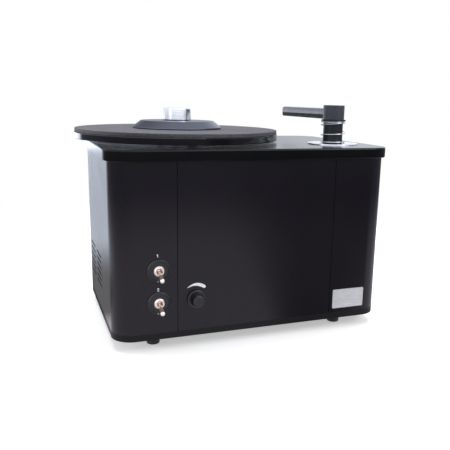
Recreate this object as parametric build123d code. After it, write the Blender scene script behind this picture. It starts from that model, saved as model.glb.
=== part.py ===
from build123d import *
import math
import os

# A vacuum record cleaning machine: cabinet, turntable, record clamp, sprung suction arm and controls.
# All sizes are in millimetres.  The pieces are drawn in the cabinet's own frame: x = 0 at the outer left
# wall, y = 0 at the outer front wall, z = 0 on the floor.  At the end everything moves so that the origin
# lies on the floor under the middle of the whole object: +X right, +Y back, +Z up.

# ---------------------------------------------------------------- cabinet
CABINET_WIDTH = 395.0
CABINET_DEPTH = 264.0
TOP_HEIGHT = 265.0            # upper face of the top plate above the floor
CORNER_RADIUS = 28.3          # upright corners of the walls
WALL = 2.5
FOOT_HEIGHT = 16.0
TRAY_FLOOR = 3.0
BAND_HEIGHT = 9.0             # tray rim that shows as a low band under the panels
PLATE_THICKNESS = 14.7
PLATE_OVERHANG = 4.6
PLATE_EDGE = 2.2              # rounding of the top plate's upper edge
SEAM_GAP = 0.8
SEAM_FROM_LEFT = 83.9         # left seam beside the front panel
SEAM_FROM_RIGHT = 85.4        # right seam beside the front panel
STRIP_WIDTH = 22.0            # upright strips behind the seams
STRIP_THICKNESS = 3.0
STRIP_TAB = 15.0

FOOT_RADIUS = 9.0
FOOT_FROM_LEFT = 56.5
FOOT_FROM_RIGHT = 60.6
FOOT_FROM_EDGE = 30.0         # from the front wall and from the rear wall
FOOT_RIM = 4.0                # rubber left round the recess of the screw
FOOT_RECESS_DEPTH = 9.0
FOOT_SCREW_RADIUS = 2.0
FOOT_SCREW_HEAD = 4.0
FOOT_SCREW_HEAD_HEIGHT = 3.0

VENT_LENGTH = 48.0
VENT_HEIGHT = 2.6
VENT_PITCH = 8.7
VENT_ROWS = 6
VENT_LOWEST = 60.0            # height of the lowest row
VENT_COLUMNS = (134.0, 199.5)  # distance of each column's middle from the front wall

BADGE_WIDTH = 50.5
BADGE_HEIGHT = 28.3
BADGE_THICKNESS = 1.0
BADGE_RIM = 2.0
BADGE_SINK = 0.4
BADGE_FROM_RIGHT = 29.5       # right edge of the plate from the right wall
BADGE_BOTTOM = 31.5

# ---------------------------------------------------------------- turntable and drive
PLATTER_X = 125.7
PLATTER_Y = 164.0
PLATTER_RADIUS = 151.0
PLATTER_THICKNESS = 9.5
PLATTER_GAP = 3.4             # from the top plate to the platter's underside
MAT_INSET = 1.0               # from the platter's rim to the mat's edge
MAT_THICKNESS = 5.0
SPINDLE_RADIUS = 3.6          # fits the hole of a record
SPINDLE_ABOVE_MAT = 20.0
SHAFT_RADIUS = 6.0
HUB_RADIUS = 30.0
HUB_FLANGE = 4.0
HUB_WALL = 7.0                # round the shaft, in the hub's boss
HUB_CLEARANCE = 2.0
HOUSING_LENGTH = 30.0
HOUSING_WALL = 6.0            # round the bushes
HOUSING_BORE_GAP = 2.0        # round the shaft, between the bushes
HOUSING_FLANGE = 5.0
HOUSING_FLANGE_MARGIN = 8.0   # from the screw circle to the flange's edge
BUSH_WALL = 5.0
BUSH_LENGTH = 12.0
BEARING_SCREW_MARGIN = 5.0    # from the hub's well to the screw circle
BEARING_SCREW_RADIUS = 2.5
BEARING_SCREW_DEPTH = 10.0    # thread in the top plate
BEARING_SCREW_HEAD = 4.4
BEARING_SCREW_HEAD_HEIGHT = 4.0
BEARING_SCREW_SOCKET = 2.3
COUPLER_WALL = 6.5            # round the spindle's shaft
COUPLER_LENGTH = 21.0
COUPLER_SLIT = 1.2
COUPLER_SCREW_RADIUS = 1.5
COUPLER_SCREW_GAP = 1.1       # from the shaft's hole to the clamp screw
COUPLER_FROM_HOUSING = 3.0
SHAFT_END_GAP = 1.0           # each shaft stops this far from the coupler's middle
MOTOR_SHAFT_RADIUS = 4.0
MOTOR_SHAFT_DEPTH = 15.0      # inside the gearbox
MOTOR_NOSE_WALL = 5.0
MOTOR_NOSE_HEIGHT = 0.5       # above the motor plate
GEARBOX_SIDE = 60.0
GEARBOX_HEIGHT = 26.0
MOTOR_CAN_RADIUS = 27.0
MOTOR_CAN_HEIGHT = 34.0
MOTOR_PLATE_MARGIN = 8.0      # from a standoff's axis to the plate's edge
MOTOR_PLATE_THICKNESS = 3.0
MOTOR_PLATE_FROM_COUPLER = 2.0
STANDOFF_RADIUS = 4.0
STANDOFF_FROM_FLANGE = 8.74   # from the housing's flange to a standoff's axis

# ---------------------------------------------------------------- record clamp
CLAMP_RADIUS = 66.0
CLAMP_CONE = 11.5             # how far the cone draws in, from base to top
CLAMP_HEIGHT = 11.2
CLAMP_LIP = 1.4               # short upright edge under the cone
CLAMP_BEARING_WIDTH = 16.0    # solid rim round the hollow underside
CLAMP_HOLLOW_DEPTH = 6.0
CLAMP_LIFT = 60.0
SEAL_INSET = 0.6              # from the clamp's rim
SEAL_WIDTH = 8.0
SEAL_THICKNESS = 1.0
KNOB_RADIUS = 20.5
KNOB_HEIGHT = 17.8
KNOB_GROOVE_HEIGHT = 9.0      # groove above the knob's underside
KNOB_GROOVE = 0.8
KNOB_STEM_RADIUS = 8.7
KNOB_STEM_LENGTH = 8.5
KNOB_ROOF = 4.0               # solid above the spindle's hole
KNOB_BASE_BEVEL = 1.6

# ---------------------------------------------------------------- suction arm
ARM_FROM_RIGHT = 54.0
ARM_FROM_FRONT = 72.0
ARM_PARK_ANGLE = 91.0         # parked, the tube points to the back
ARM_TIP_GAP = 3.1             # from the tip to the clamp, when the arm is over the record
VELVET_ABOVE_MAT = 18.3       # with the arm up
RECORD_THICKNESS = 2.3        # the arm goes down to this far above the mat
BASE_DISC_RADIUS = 37.5
BASE_DISC_THICKNESS = 1.6
BASE_DISC_BORE_GAP = 0.7      # round the pipe
BASE_SCREW_FROM_SPRING = 3.3  # from the spring's outside to the screw circle
BASE_SCREW_HEAD = 2.5
BASE_SCREW_RADIUS = 1.5
BASE_SCREW_LENGTH = 9.0
BASE_SCREW_HOLE = 9.0         # depth of its hole in the top plate
PIPE_RADIUS = 14.5
PIPE_WALL = 2.5
PIPE_BELOW_TOP = 61.0         # how far the pipe reaches below the top plate's upper face
SEAT_THICKNESS = 2.5
SEAT_MARGIN = 0.55            # from the middle of the wire to the seat's rim
HEAD_WALL = 1.15              # round the pipe
HEAD_HEIGHT = 20.6
HEAD_SOCKET = 5.0             # how deep the pipe sits in the head
HEAD_ROOF = 2.4
HEAD_EDGE = 1.2
TUBE_WIDTH = 16.0
TUBE_HEIGHT = 9.8
TUBE_WALL = 1.6
TUBE_UPPER_CORNER = 4.8
TUBE_LOWER_CORNER = 0.8
TUBE_BELOW_HEAD_TOP = 4.6     # from the head's top to the tube's top
TUBE_SOCKET = 3.15            # how deep the tube sits in the head's side
SLOT_WIDTH = 2.6
SLOT_START = 76.0
SLOT_END_MARGIN = 6.0
CAP_LENGTH = 4.0
CAP_PLUG = 6.0
CAP_EDGE = 2.6
VELVET_HEIGHT = 6.2
VELVET_WIDTH = 5.8
VELVET_FROM_HEAD = 1.85
VELVET_EDGE = 2.4
GUIDE_WALL = 2.0
GUIDE_DEPTH = 76.0            # below the top plate's underside
GUIDE_FLOOR = 4.0
GUIDE_FLANGE_WIDTH = 13.5
GUIDE_FLANGE = 4.0
ARM_BUSH_WALL = 2.0
ARM_BUSH_LENGTH = 12.0
UPPER_BUSH_DEPTH = 1.0        # below the top plate's upper face
LOWER_BUSH_DEPTH = 47.0       # upper face of the lower bush below the top plate's upper face
CLIP_THICKNESS = 1.5
CLIP_GROOVE = 0.5
CLIP_REACH = 1.7              # how far the clip stands out from the pipe
CLIP_MOUTH = 6.0

SPRING_WIRE = 0.6             # radius of the wire
SPRING_PLAY = 2.5             # from the pipe to the wire
SPRING_TURNS = 4.0
SPRING_CLOSED_TURNS = 1.0     # at each end
SPRING_CLOSED_PITCH = 1.7
SPRING_RAMP = 0.25            # turns over which the pitch changes
SPRING_START_ANGLE = 300.8
SPRING_LEAN = 1.9             # the free turns tilt by this much
SPRING_LEAN_ANGLE = 152.6
SPRING_STEPS_PER_TURN = 8

# ---------------------------------------------------------------- controls
SWITCH_X = 59.0
SWITCH_HEIGHTS = (66.5, 110.0)
BEZEL_RADIUS = 15.5
BEZEL_THICKNESS = 1.2
BEZEL_RIM_WIDTH = 3.0
BEZEL_RIM_HEIGHT = 2.8
BEZEL_EDGE = 1.2
BUSHING_RADIUS = 5.0
BUSHING_REACH = 5.0           # in front of the wall
BUSHING_MOUTH_WALL = 0.8      # metal left round the mouth
BUSHING_DEPTH = 8.0
NUT_WALL = 1.85
NUT_THICKNESS = 3.0
NUT_BEVEL = 0.9
LUG_PITCH = 10.0
LUG_LENGTH = 6.0
SWITCH_BODY_WIDTH = 18.0
SWITCH_BODY_HEIGHT = 32.0
SWITCH_BODY_DEPTH = 24.0
TOGGLE_TILT = 20.0            # below and above level
TOGGLE_REACH = 21.5           # from the pivot to the middle of the tip
TOGGLE_TIP_RADIUS = 3.3
TOGGLE_NECK_RADIUS = 1.6
TOGGLE_BALL_RADIUS = 2.4

SPEED_X = 109.0
SPEED_HEIGHT = 67.5
SPEED_SKIRT_RADIUS = 12.6
SPEED_SKIRT_HEIGHT = 3.0
SPEED_BASE_RADIUS = 9.4
SPEED_TOP_RADIUS = 7.7
SPEED_REACH = 14.5
SPEED_GAP = 0.5
POT_RADIUS = 12.0
POT_DEPTH = 11.0
POT_BUSHING_RADIUS = 4.5
POT_BUSHING_REACH = 2.0       # in front of the wall
POT_SHAFT_RADIUS = 3.0
POT_SHAFT_REACH = 11.0
POT_SHAFT_DEPTH = 6.0         # inside the body
POINTER_WIDTH = 0.8
POINTER_DEPTH = 0.4
POINTER_START = 2.0           # from the knob's axis
POINTER_ANGLE = 135.0         # turned from straight up

# ---------------------------------------------------------------- suction and drain
NOZZLE_RADIUS = 12.0
NOZZLE_WALL = 2.5
NOZZLE_LENGTH = 10.0
GUIDE_NOZZLE_LENGTH = 16.0
NOZZLE_GAP = 2.3
HOSE_WALL = 2.5
TANK_WIDTH = 88.0
TANK_FROM_WALL = 7.0
TANK_FRONT = 30.0
TANK_FROM_REAR = 74.0
TANK_WALL = 2.5
TANK_CORNER = 8.0
LID_THICKNESS = 4.0
LID_LIP = 3.0
OUTLET_FROM_REAR = 99.0       # second nozzle of the lid and middle of the suction motor
FAN_RADIUS = 58.0
FAN_SHELL = 2.0
FAN_HEIGHT = 33.0
FAN_FROM_TANK = 16.0
MOUNT_HEIGHT = 6.0
MOUNT_RADIUS = 8.0
MOUNT_BORE = 2.5
MOUNT_INSET = 7.0             # from the suction motor's outside to a mount's axis
SUCTION_MOTOR_RADIUS = 45.0
SUCTION_MOTOR_HEIGHT = 70.0
SUCTION_MOTOR_BORE = 20.0
SUCTION_MOTOR_END = 8.0       # thickness of its end shields
SUCTION_MOTOR_FOOT = 4.0      # how far the foot flange stands out
SUCTION_MOTOR_FOOT_HEIGHT = 3.0
WINDOW_COUNT = 6
WINDOW_WIDTH = 14.0
WINDOW_HEIGHT = 34.0
WINDOW_DEPTH = 20.0
ARMATURE_GAP = 2.0            # from the armature to the motor's bore
ARMATURE_END_GAP = 4.0        # from the armature to each end shield
ROTOR_SHAFT_RADIUS = 4.0
ROTOR_SHAFT_GAP = 3.0         # under the lower end of the shaft
WHEEL_GAP = 8.0               # from the fan wheel to the housing
WHEEL_THICKNESS = 2.0
WHEEL_LIFT = 2.0              # above the housing's floor
WHEEL_HUB_WALL = 5.0
WHEEL_HUB_HEIGHT = 12.0
VANE_COUNT = 8
VANE_THICKNESS = 1.6
VANE_START = 18.0             # from the wheel's axis
VANE_TOP_GAP = 3.0
DUCT_WIDTH = 28.0
DUCT_HEIGHT = 26.0
DUCT_WALL = 2.0
PLENUM_DEPTH = 20.0
DUCT_FROM_FAN = 16.0          # joint of the fan's outlet and the duct
PLENUM_MARGIN = 5.0
HOSE_TOP_GAP = 14.0           # from the bent hose to the top plate
HOSE_BEND_GAP = 2.0           # straight hose above a nozzle

DRAIN_HEIGHT = 34.0
DRAIN_PIPE_RADIUS = 7.0
DRAIN_PIPE_END = 1.0          # how far the pipe reaches into the tank
DRAIN_BORE = 3.2
DRAIN_BODY_WALL = 2.0         # outside the pipe
DRAIN_BODY_LENGTH = 16.0
DRAIN_FLANGE = 3.0
DRAIN_FLANGE_WIDTH = 5.0
SPOUT_RADIUS = 4.5
SPOUT_LENGTH = 16.0
LEVER_STEM_RADIUS = 2.5
LEVER_LENGTH = 32.0
LEVER_WIDTH = 8.0
LEVER_THICKNESS = 3.0
LEVER_HUB_RADIUS = 5.5
LEVER_HUB_HEIGHT = 4.0
LEVER_ABOVE_BODY = 4.0        # underside of the lever above the valve's body
LEVER_NECK_WALL = 2.5

# ---------------------------------------------------------------- electrics and rear
INLET_X = 118.0
INLET_HEIGHT = 62.0
INLET_WIDTH = 27.4
INLET_TALL = 19.8
INLET_DEPTH = 24.0
INLET_FLANGE = 2.5
INLET_FLANGE_MARGIN = 3.5
INLET_CAVITY_DEPTH = 17.0
INLET_RIM = 1.6
PIN_LENGTH = 10.0
PIN_WIDTH = 2.0
PIN_TALL = 4.0
PIN_PLACES = ((-7.0, -2.0), (0.0, 2.0), (7.0, -2.0))
BOARD_X = 30.0
BOARD_Y = 42.0
BOARD_WIDTH = 80.0
BOARD_DEPTH = 52.0
BOARD_THICKNESS = 1.6
BOARD_LIFT = 10.0
BOARD_HOLD = 4.0              # from the board's edges to its bosses
BOSS_RADIUS = 3.0
CAPACITOR_COUNT = 3
CAPACITOR_RADIUS = 5.0
CAPACITOR_HEIGHT = 16.0
CAPACITOR_PITCH = 13.0
CAPACITOR_PLACE = (14.0, 36.0)  # the first one, on the board
SINK_PLACE = (54.0, 8.0)      # corner of the heat sink, on the board
SINK_WIDTH = 18.0
SINK_HEIGHT = 22.0
SINK_BASE = 3.0
FIN_COUNT = 5
FIN_PITCH = 5.0
FIN_THICKNESS = 2.0
TERMINAL_PLACE = (10.0, 3.0)
TERMINAL_WIDTH = 34.0
TERMINAL_DEPTH = 9.0
TERMINAL_HEIGHT = 10.0
SUPPLY_X = 132.0
SUPPLY_Y = 24.0
SUPPLY_WIDTH = 66.0
SUPPLY_DEPTH = 28.0
SUPPLY_HEIGHT = 56.0
WINDING_INSET = 12.0          # from each end of the core
WINDING_PROUD = 13.0          # in front of and behind the core
WINDING_MARGIN = 11.0         # above and below
BRACKET_REACH = 10.0
BRACKET_INSET = 4.0
BRACKET_THICKNESS = 2.0
REAR_SCREW_RADIUS = 1.6
REAR_SCREW_HEAD = 3.2
REAR_SCREW_HEAD_HEIGHT = 2.0
REAR_SCREW_FROM_SEAM = 8.0
REAR_SCREW_FROM_EDGE = 12.0
REAR_VENT_ROWS = 5
REAR_VENT_HEIGHT = 120.0
REAR_VENT_SPREAD = 28.8       # from the panel's middle to each column's middle

# ---------------------------------------------------------------- fits
RUNNING = 0.05                # radial clearance of a shaft in its bush
SEATED = 0.02                 # clearance of a piece that is fixed in its hole
APART = 0.3                   # gap between faces that move past each other

# ---------------------------------------------------------------- places worked out from the sizes
FOOT_RECESS_RADIUS = FOOT_RADIUS - FOOT_RIM
TRAY_TOP = FOOT_HEIGHT + TRAY_FLOOR
BAND_TOP = FOOT_HEIGHT + BAND_HEIGHT
PLATE_UNDER = TOP_HEIGHT - PLATE_THICKNESS
LEFT_SEAM = SEAM_FROM_LEFT
RIGHT_SEAM = CABINET_WIDTH - SEAM_FROM_RIGHT
PLATTER_UNDER = TOP_HEIGHT + PLATTER_GAP
MAT_UNDER = PLATTER_UNDER + PLATTER_THICKNESS
MAT_TOP = MAT_UNDER + MAT_THICKNESS
MAT_RADIUS = PLATTER_RADIUS - MAT_INSET
HUB_BOSS_RADIUS = SHAFT_RADIUS + HUB_WALL
BUSH_RADIUS = SHAFT_RADIUS + BUSH_WALL
HOUSING_RADIUS = BUSH_RADIUS + HOUSING_WALL
BEARING_SCREW_CIRCLE = HUB_RADIUS + HUB_CLEARANCE + BEARING_SCREW_MARGIN
HOUSING_FLANGE_RADIUS = BEARING_SCREW_CIRCLE + HOUSING_FLANGE_MARGIN
HOUSING_BOTTOM = PLATE_UNDER - HOUSING_LENGTH
COUPLER_RADIUS = SHAFT_RADIUS + COUPLER_WALL
COUPLER_TOP = HOUSING_BOTTOM - COUPLER_FROM_HOUSING
COUPLER_BOTTOM = COUPLER_TOP - COUPLER_LENGTH
COUPLER_MIDDLE = (COUPLER_TOP + COUPLER_BOTTOM) / 2
MOTOR_PLATE_TOP = COUPLER_BOTTOM - MOTOR_PLATE_FROM_COUPLER
GEARBOX_TOP = MOTOR_PLATE_TOP - MOTOR_PLATE_THICKNESS
GEARBOX_BOTTOM = GEARBOX_TOP - GEARBOX_HEIGHT
STANDOFF_OFFSET = (HOUSING_FLANGE_RADIUS + STANDOFF_FROM_FLANGE) / math.sqrt(2)
MOTOR_PLATE_SIDE = 2 * (STANDOFF_OFFSET + MOTOR_PLATE_MARGIN)
MOTOR_NOSE_RADIUS = MOTOR_SHAFT_RADIUS + MOTOR_NOSE_WALL
CLAMP_TOP_RADIUS = CLAMP_RADIUS - CLAMP_CONE
CLAMP_HOLLOW_RADIUS = CLAMP_RADIUS - CLAMP_BEARING_WIDTH
CLAMP_UNDER = MAT_TOP + APART
CLAMP_TOP = CLAMP_UNDER + CLAMP_HEIGHT
KNOB_UNDER = CLAMP_TOP + APART
ARM_X = CABINET_WIDTH - ARM_FROM_RIGHT
ARM_Y = ARM_FROM_FRONT
ARM_TO_PLATTER = math.hypot(PLATTER_X - ARM_X, PLATTER_Y - ARM_Y)
ARM_LENGTH = ARM_TO_PLATTER - CLAMP_RADIUS - ARM_TIP_GAP
ARM_RECORD_ANGLE = math.degrees(math.atan2(PLATTER_Y - ARM_Y, PLATTER_X - ARM_X))
ARM_SWING = ARM_RECORD_ANGLE - ARM_PARK_ANGLE
ARM_DROP = VELVET_ABOVE_MAT - RECORD_THICKNESS
PIPE_BORE = PIPE_RADIUS - PIPE_WALL
HEAD_RADIUS = PIPE_RADIUS + HEAD_WALL
TUBE_IN_HEAD = HEAD_RADIUS - TUBE_SOCKET
VELVET_START = HEAD_RADIUS + VELVET_FROM_HEAD
SPRING_RADIUS = PIPE_RADIUS + SPRING_PLAY + SPRING_WIRE
SEAT_RADIUS = SPRING_RADIUS + SEAT_MARGIN
BASE_SCREW_CIRCLE = SPRING_RADIUS + SPRING_WIRE + BASE_SCREW_FROM_SPRING
GUIDE_BORE = PIPE_RADIUS + ARM_BUSH_WALL
GUIDE_RADIUS = GUIDE_BORE + GUIDE_WALL
GUIDE_FLANGE_RADIUS = GUIDE_RADIUS + GUIDE_FLANGE_WIDTH
CLIP_RADIUS = PIPE_RADIUS + CLIP_REACH
DISC_TOP = TOP_HEIGHT + BASE_DISC_THICKNESS
TUBE_UNDER = MAT_TOP + VELVET_ABOVE_MAT + VELVET_HEIGHT
TUBE_TOP = TUBE_UNDER + TUBE_HEIGHT
HEAD_TOP = TUBE_TOP + TUBE_BELOW_HEAD_TOP
HEAD_UNDER = HEAD_TOP - HEAD_HEIGHT
SEAT_UNDER = HEAD_UNDER - APART - SEAT_THICKNESS
PIPE_TOP = HEAD_UNDER + HEAD_SOCKET
PIPE_BOTTOM = TOP_HEIGHT - PIPE_BELOW_TOP
UPPER_BUSH_UNDER = TOP_HEIGHT - UPPER_BUSH_DEPTH - ARM_BUSH_LENGTH
CLIP_TOP = UPPER_BUSH_UNDER - APART
GUIDE_BOTTOM = PLATE_UNDER - GUIDE_DEPTH
GUIDE_NOZZLE_END = GUIDE_BOTTOM - GUIDE_NOZZLE_LENGTH
NUT_RADIUS = BUSHING_RADIUS + NUT_WALL
NOZZLE_BORE = NOZZLE_RADIUS - NOZZLE_WALL
LID_TOP = GUIDE_NOZZLE_END - NOZZLE_GAP - NOZZLE_LENGTH
TANK_TOP = LID_TOP - LID_THICKNESS
TANK_RIGHT = CABINET_WIDTH - WALL - TANK_FROM_WALL
TANK_LEFT = TANK_RIGHT - TANK_WIDTH
TANK_REAR = CABINET_DEPTH - TANK_FROM_REAR
OUTLET_Y = CABINET_DEPTH - OUTLET_FROM_REAR
MOUNT_CIRCLE = SUCTION_MOTOR_RADIUS - MOUNT_INSET
ARMATURE_RADIUS = SUCTION_MOTOR_BORE - ARMATURE_GAP
WHEEL_RADIUS = FAN_RADIUS - WHEEL_GAP
FAN_X = TANK_LEFT - FAN_FROM_TANK - FAN_RADIUS
FAN_Y = OUTLET_Y
MOTOR_BASE = TRAY_TOP + MOUNT_HEIGHT
FAN_BOTTOM = MOTOR_BASE + SUCTION_MOTOR_HEIGHT
FAN_TOP = FAN_BOTTOM + FAN_HEIGHT
DUCT_BOTTOM = FAN_BOTTOM + (FAN_HEIGHT - DUCT_HEIGHT) / 2
DUCT_FRONT = FAN_Y + FAN_RADIUS - DUCT_WIDTH
DUCT_START = FAN_X - FAN_RADIUS - DUCT_FROM_FAN
DRAIN_X = ARM_X
DRAIN_BODY_RADIUS = DRAIN_PIPE_RADIUS + DRAIN_BODY_WALL
DRAIN_FLANGE_RADIUS = DRAIN_PIPE_RADIUS + DRAIN_FLANGE_WIDTH
LEVER_HEIGHT = DRAIN_BODY_RADIUS + LEVER_ABOVE_BODY
VALVE_Y = CABINET_DEPTH + DRAIN_FLANGE + DRAIN_BODY_LENGTH / 2


# ---------------------------------------------------------------- helpers
def disc(radius, low, high, x=0.0, y=0.0):
    """Upright cylinder between two heights."""
    return Pos(x, y, low) * extrude(Circle(radius), high - low)


def ring(outer, inner, low, high, x=0.0, y=0.0):
    """Upright tube between two heights."""
    return Pos(x, y, low) * extrude(Circle(outer) - Circle(inner), high - low)


def block(x0, x1, y0, y1, z0, z1):
    """Box between two corners."""
    return Pos(x0, y0, z0) * Box(x1 - x0, y1 - y0, z1 - z0, align=(Align.MIN, Align.MIN, Align.MIN))


def turned(points):
    """Solid of revolution about the z axis from a closed outline of (radius, height) points."""
    return revolve(Plane.XZ * make_face(Polyline(*points, close=True)), Axis.Z)


def around(count, circle, start=0.0):
    """Points on a circle, evenly spaced."""
    angles = [math.radians(start + 360.0 * k / count) for k in range(count)]
    return [(circle * math.cos(a), circle * math.sin(a)) for a in angles]


def footprint(inset, low, high):
    """Rounded block over the cabinet's outline, drawn in by an inset."""
    outline = RectangleRounded(CABINET_WIDTH - 2 * inset, CABINET_DEPTH - 2 * inset, CORNER_RADIUS - inset)
    return Pos(CABINET_WIDTH / 2, CABINET_DEPTH / 2, low) * extrude(outline, high - low)


def on_front(x, z):
    """Place on the front wall: local z points out of the wall, local y up."""
    return Plane(origin=(x, 0, z), x_dir=(1, 0, 0), z_dir=(0, -1, 0)).location


def on_rear(x, z):
    """Place on the rear wall: local z points out of the wall, local y up."""
    return Plane(origin=(x, CABINET_DEPTH, z), x_dir=(-1, 0, 0), z_dir=(0, 1, 0)).location


def foot_places():
    """The four feet."""
    columns = (FOOT_FROM_LEFT, CABINET_WIDTH - FOOT_FROM_RIGHT)
    rows = (FOOT_FROM_EDGE, CABINET_DEPTH - FOOT_FROM_EDGE)
    return [(x, y) for x in columns for y in rows]


# ---------------------------------------------------------------- cabinet
def base_tray():
    """Floor of the cabinet with its low rim, and bosses for the control board."""
    tray = footprint(0, FOOT_HEIGHT, BAND_TOP) - footprint(WALL, TRAY_TOP, BAND_TOP)
    for x, y in board_corners():
        tray += disc(BOSS_RADIUS, TRAY_TOP, TRAY_TOP + BOARD_LIFT, x, y)
    for x, y in foot_places():
        tray -= disc(FOOT_SCREW_RADIUS + SEATED, FOOT_HEIGHT, TRAY_TOP, x, y)
    return tray


def wall_ring():
    """All four upright walls in one piece, before the seams divide them."""
    return footprint(0, BAND_TOP, PLATE_UNDER) - footprint(WALL, BAND_TOP, PLATE_UNDER)


def vent_slot(length, height):
    """Slot cutter through a wall, along local z."""
    return Pos(0, 0, -2 * WALL) * extrude(SlotOverall(length, height), 4 * WALL)


def left_shell():
    """Left corner shell with its ventilation slots and the holes of the two switches."""
    far = LEFT_SEAM - SEAM_GAP / 2
    shell = wall_ring() & block(-1, far, -1, CABINET_DEPTH + 1, 0, TOP_HEIGHT)
    side = Plane(origin=(0, 0, 0), x_dir=(0, 1, 0), z_dir=(1, 0, 0)).location
    for column in VENT_COLUMNS:
        for row in range(VENT_ROWS):
            height = VENT_LOWEST + row * VENT_PITCH
            shell -= side * Pos(column, height, 0) * vent_slot(VENT_LENGTH, VENT_HEIGHT)
    for height in SWITCH_HEIGHTS:
        shell -= on_front(SWITCH_X, height) * disc(BUSHING_RADIUS + SEATED, -2 * WALL, WALL)
    return shell


def right_shell():
    """Right corner shell with the hole of the drain pipe at the back."""
    near = RIGHT_SEAM + SEAM_GAP / 2
    shell = wall_ring() & block(near, CABINET_WIDTH + 1, -1, CABINET_DEPTH + 1, 0, TOP_HEIGHT)
    return shell - on_rear(DRAIN_X, DRAIN_HEIGHT) * disc(DRAIN_PIPE_RADIUS + SEATED, -2 * WALL, WALL)


def middle_panel():
    """Flat panel between the seams, at the front wall."""
    return block(LEFT_SEAM + SEAM_GAP / 2, RIGHT_SEAM - SEAM_GAP / 2, 0, WALL, BAND_TOP, PLATE_UNDER)


def front_panel():
    """Front panel with the hole of the speed control."""
    hole = on_front(SPEED_X, SPEED_HEIGHT) * disc(POT_BUSHING_RADIUS + SEATED, -2 * WALL, WALL)
    return middle_panel() - hole


def rear_screw_places():
    """Screws of the rear panel, beside the seams."""
    columns = (LEFT_SEAM + REAR_SCREW_FROM_SEAM, RIGHT_SEAM - REAR_SCREW_FROM_SEAM)
    low, high = BAND_TOP + REAR_SCREW_FROM_EDGE, PLATE_UNDER - REAR_SCREW_FROM_EDGE
    rows = (low, (low + high) / 2, high)
    return [(x, z) for x in columns for z in rows]


def rear_panel():
    """Rear panel with the inlet's cut-out, cooling slots and screw holes."""
    panel = Pos(0, CABINET_DEPTH - WALL, 0) * middle_panel()
    cutout = Box(INLET_WIDTH + 2 * SEATED, INLET_TALL + 2 * SEATED, 4 * WALL)
    panel -= on_rear(INLET_X, INLET_HEIGHT) * cutout
    middle = (LEFT_SEAM + RIGHT_SEAM) / 2
    for side in (-1, 1):
        for row in range(REAR_VENT_ROWS):
            place = on_rear(middle + side * REAR_VENT_SPREAD, REAR_VENT_HEIGHT + row * VENT_PITCH)
            panel -= place * vent_slot(VENT_LENGTH, VENT_HEIGHT)
    for x, z in rear_screw_places():
        panel -= on_rear(x, z) * disc(REAR_SCREW_RADIUS + SEATED, -2 * WALL, WALL)
    return panel


def rear_screws():
    """Pan-head screws through the rear panel into the strips."""
    high = REAR_SCREW_HEAD_HEIGHT
    screws = []
    for x, z in rear_screw_places():
        head = fillet(disc(REAR_SCREW_HEAD, 0, high).edges().group_by(Axis.Z)[-1], 0.6 * high)
        shank = disc(REAR_SCREW_RADIUS, -(WALL + STRIP_THICKNESS), 0)
        slot = Pos(0, 0, high) * (Box(3.6, 0.8, 1.6) + Box(0.8, 3.6, 1.6))
        screws.append(on_rear(x, z) * (head + shank - slot))
    return Compound(children=screws)


def seam_strips():
    """Upright strips with tabs, which join the tray, the panels and the top plate at each seam."""
    strips = []
    for seam in (LEFT_SEAM, RIGHT_SEAM):
        x0, x1 = seam - STRIP_WIDTH / 2, seam + STRIP_WIDTH / 2
        front = block(x0, x1, WALL, WALL + STRIP_THICKNESS, TRAY_TOP, PLATE_UNDER)
        front += block(x0, x1, WALL, WALL + STRIP_TAB, TRAY_TOP, TRAY_TOP + STRIP_THICKNESS)
        front += block(x0, x1, WALL, WALL + STRIP_TAB, PLATE_UNDER - STRIP_THICKNESS, PLATE_UNDER)
        rear = mirror(front, Plane.XZ.offset(-CABINET_DEPTH / 2))
        for x, z in rear_screw_places():
            rear -= on_rear(x, z) * disc(REAR_SCREW_RADIUS + SEATED, -4 * WALL, WALL)
        strips += [front, rear]
    return Compound(children=strips)


def top_plate():
    """Thick top plate with its rounded upper edge, the hub's well and the arm's hole."""
    plate = footprint(-PLATE_OVERHANG, PLATE_UNDER, TOP_HEIGHT)
    plate = fillet(plate.edges().group_by(Axis.Z)[-1], PLATE_EDGE)
    plate = chamfer(plate.edges().group_by(Axis.Z)[0], 0.8)
    plate -= disc(HUB_RADIUS + HUB_CLEARANCE, PLATE_UNDER, TOP_HEIGHT, PLATTER_X, PLATTER_Y)
    plate -= disc(GUIDE_RADIUS + APART, PLATE_UNDER, TOP_HEIGHT, ARM_X, ARM_Y)
    thread_top = PLATE_UNDER + BEARING_SCREW_DEPTH + 1.0
    for x, y in around(4, BEARING_SCREW_CIRCLE, 45.0):
        plate -= at_platter(disc(BEARING_SCREW_RADIUS + SEATED, PLATE_UNDER, thread_top, x, y))
    for x, y in around(4, BASE_SCREW_CIRCLE):
        plate -= at_arm(disc(BASE_SCREW_RADIUS + SEATED, TOP_HEIGHT - BASE_SCREW_HOLE, TOP_HEIGHT, x, y))
    return plate


def feet():
    """Four rubber feet, each with a recess for its screw."""
    pads = []
    for x, y in foot_places():
        pad = disc(FOOT_RADIUS, 0, FOOT_HEIGHT)
        pad = fillet(pad.edges().group_by(Axis.Z)[0], 1.5)
        pad -= disc(FOOT_RECESS_RADIUS, 0, FOOT_RECESS_DEPTH)
        pad -= disc(FOOT_SCREW_RADIUS + SEATED, 0, FOOT_HEIGHT)
        pads.append(Pos(x, y, 0) * pad)
    return Compound(children=pads)


def foot_screws():
    """Screws that hold the feet to the tray."""
    high = FOOT_RECESS_DEPTH
    low = high - FOOT_SCREW_HEAD_HEIGHT
    screws = []
    for x, y in foot_places():
        head = chamfer(disc(FOOT_SCREW_HEAD, low, high).edges().group_by(Axis.Z)[0], 0.8)
        screw = head + disc(FOOT_SCREW_RADIUS, high, TRAY_TOP)
        screws.append(Pos(x, y, 0) * (screw - Pos(0, 0, low) * Box(5.0, 1.0, 2.4)))
    return Compound(children=screws)


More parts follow.
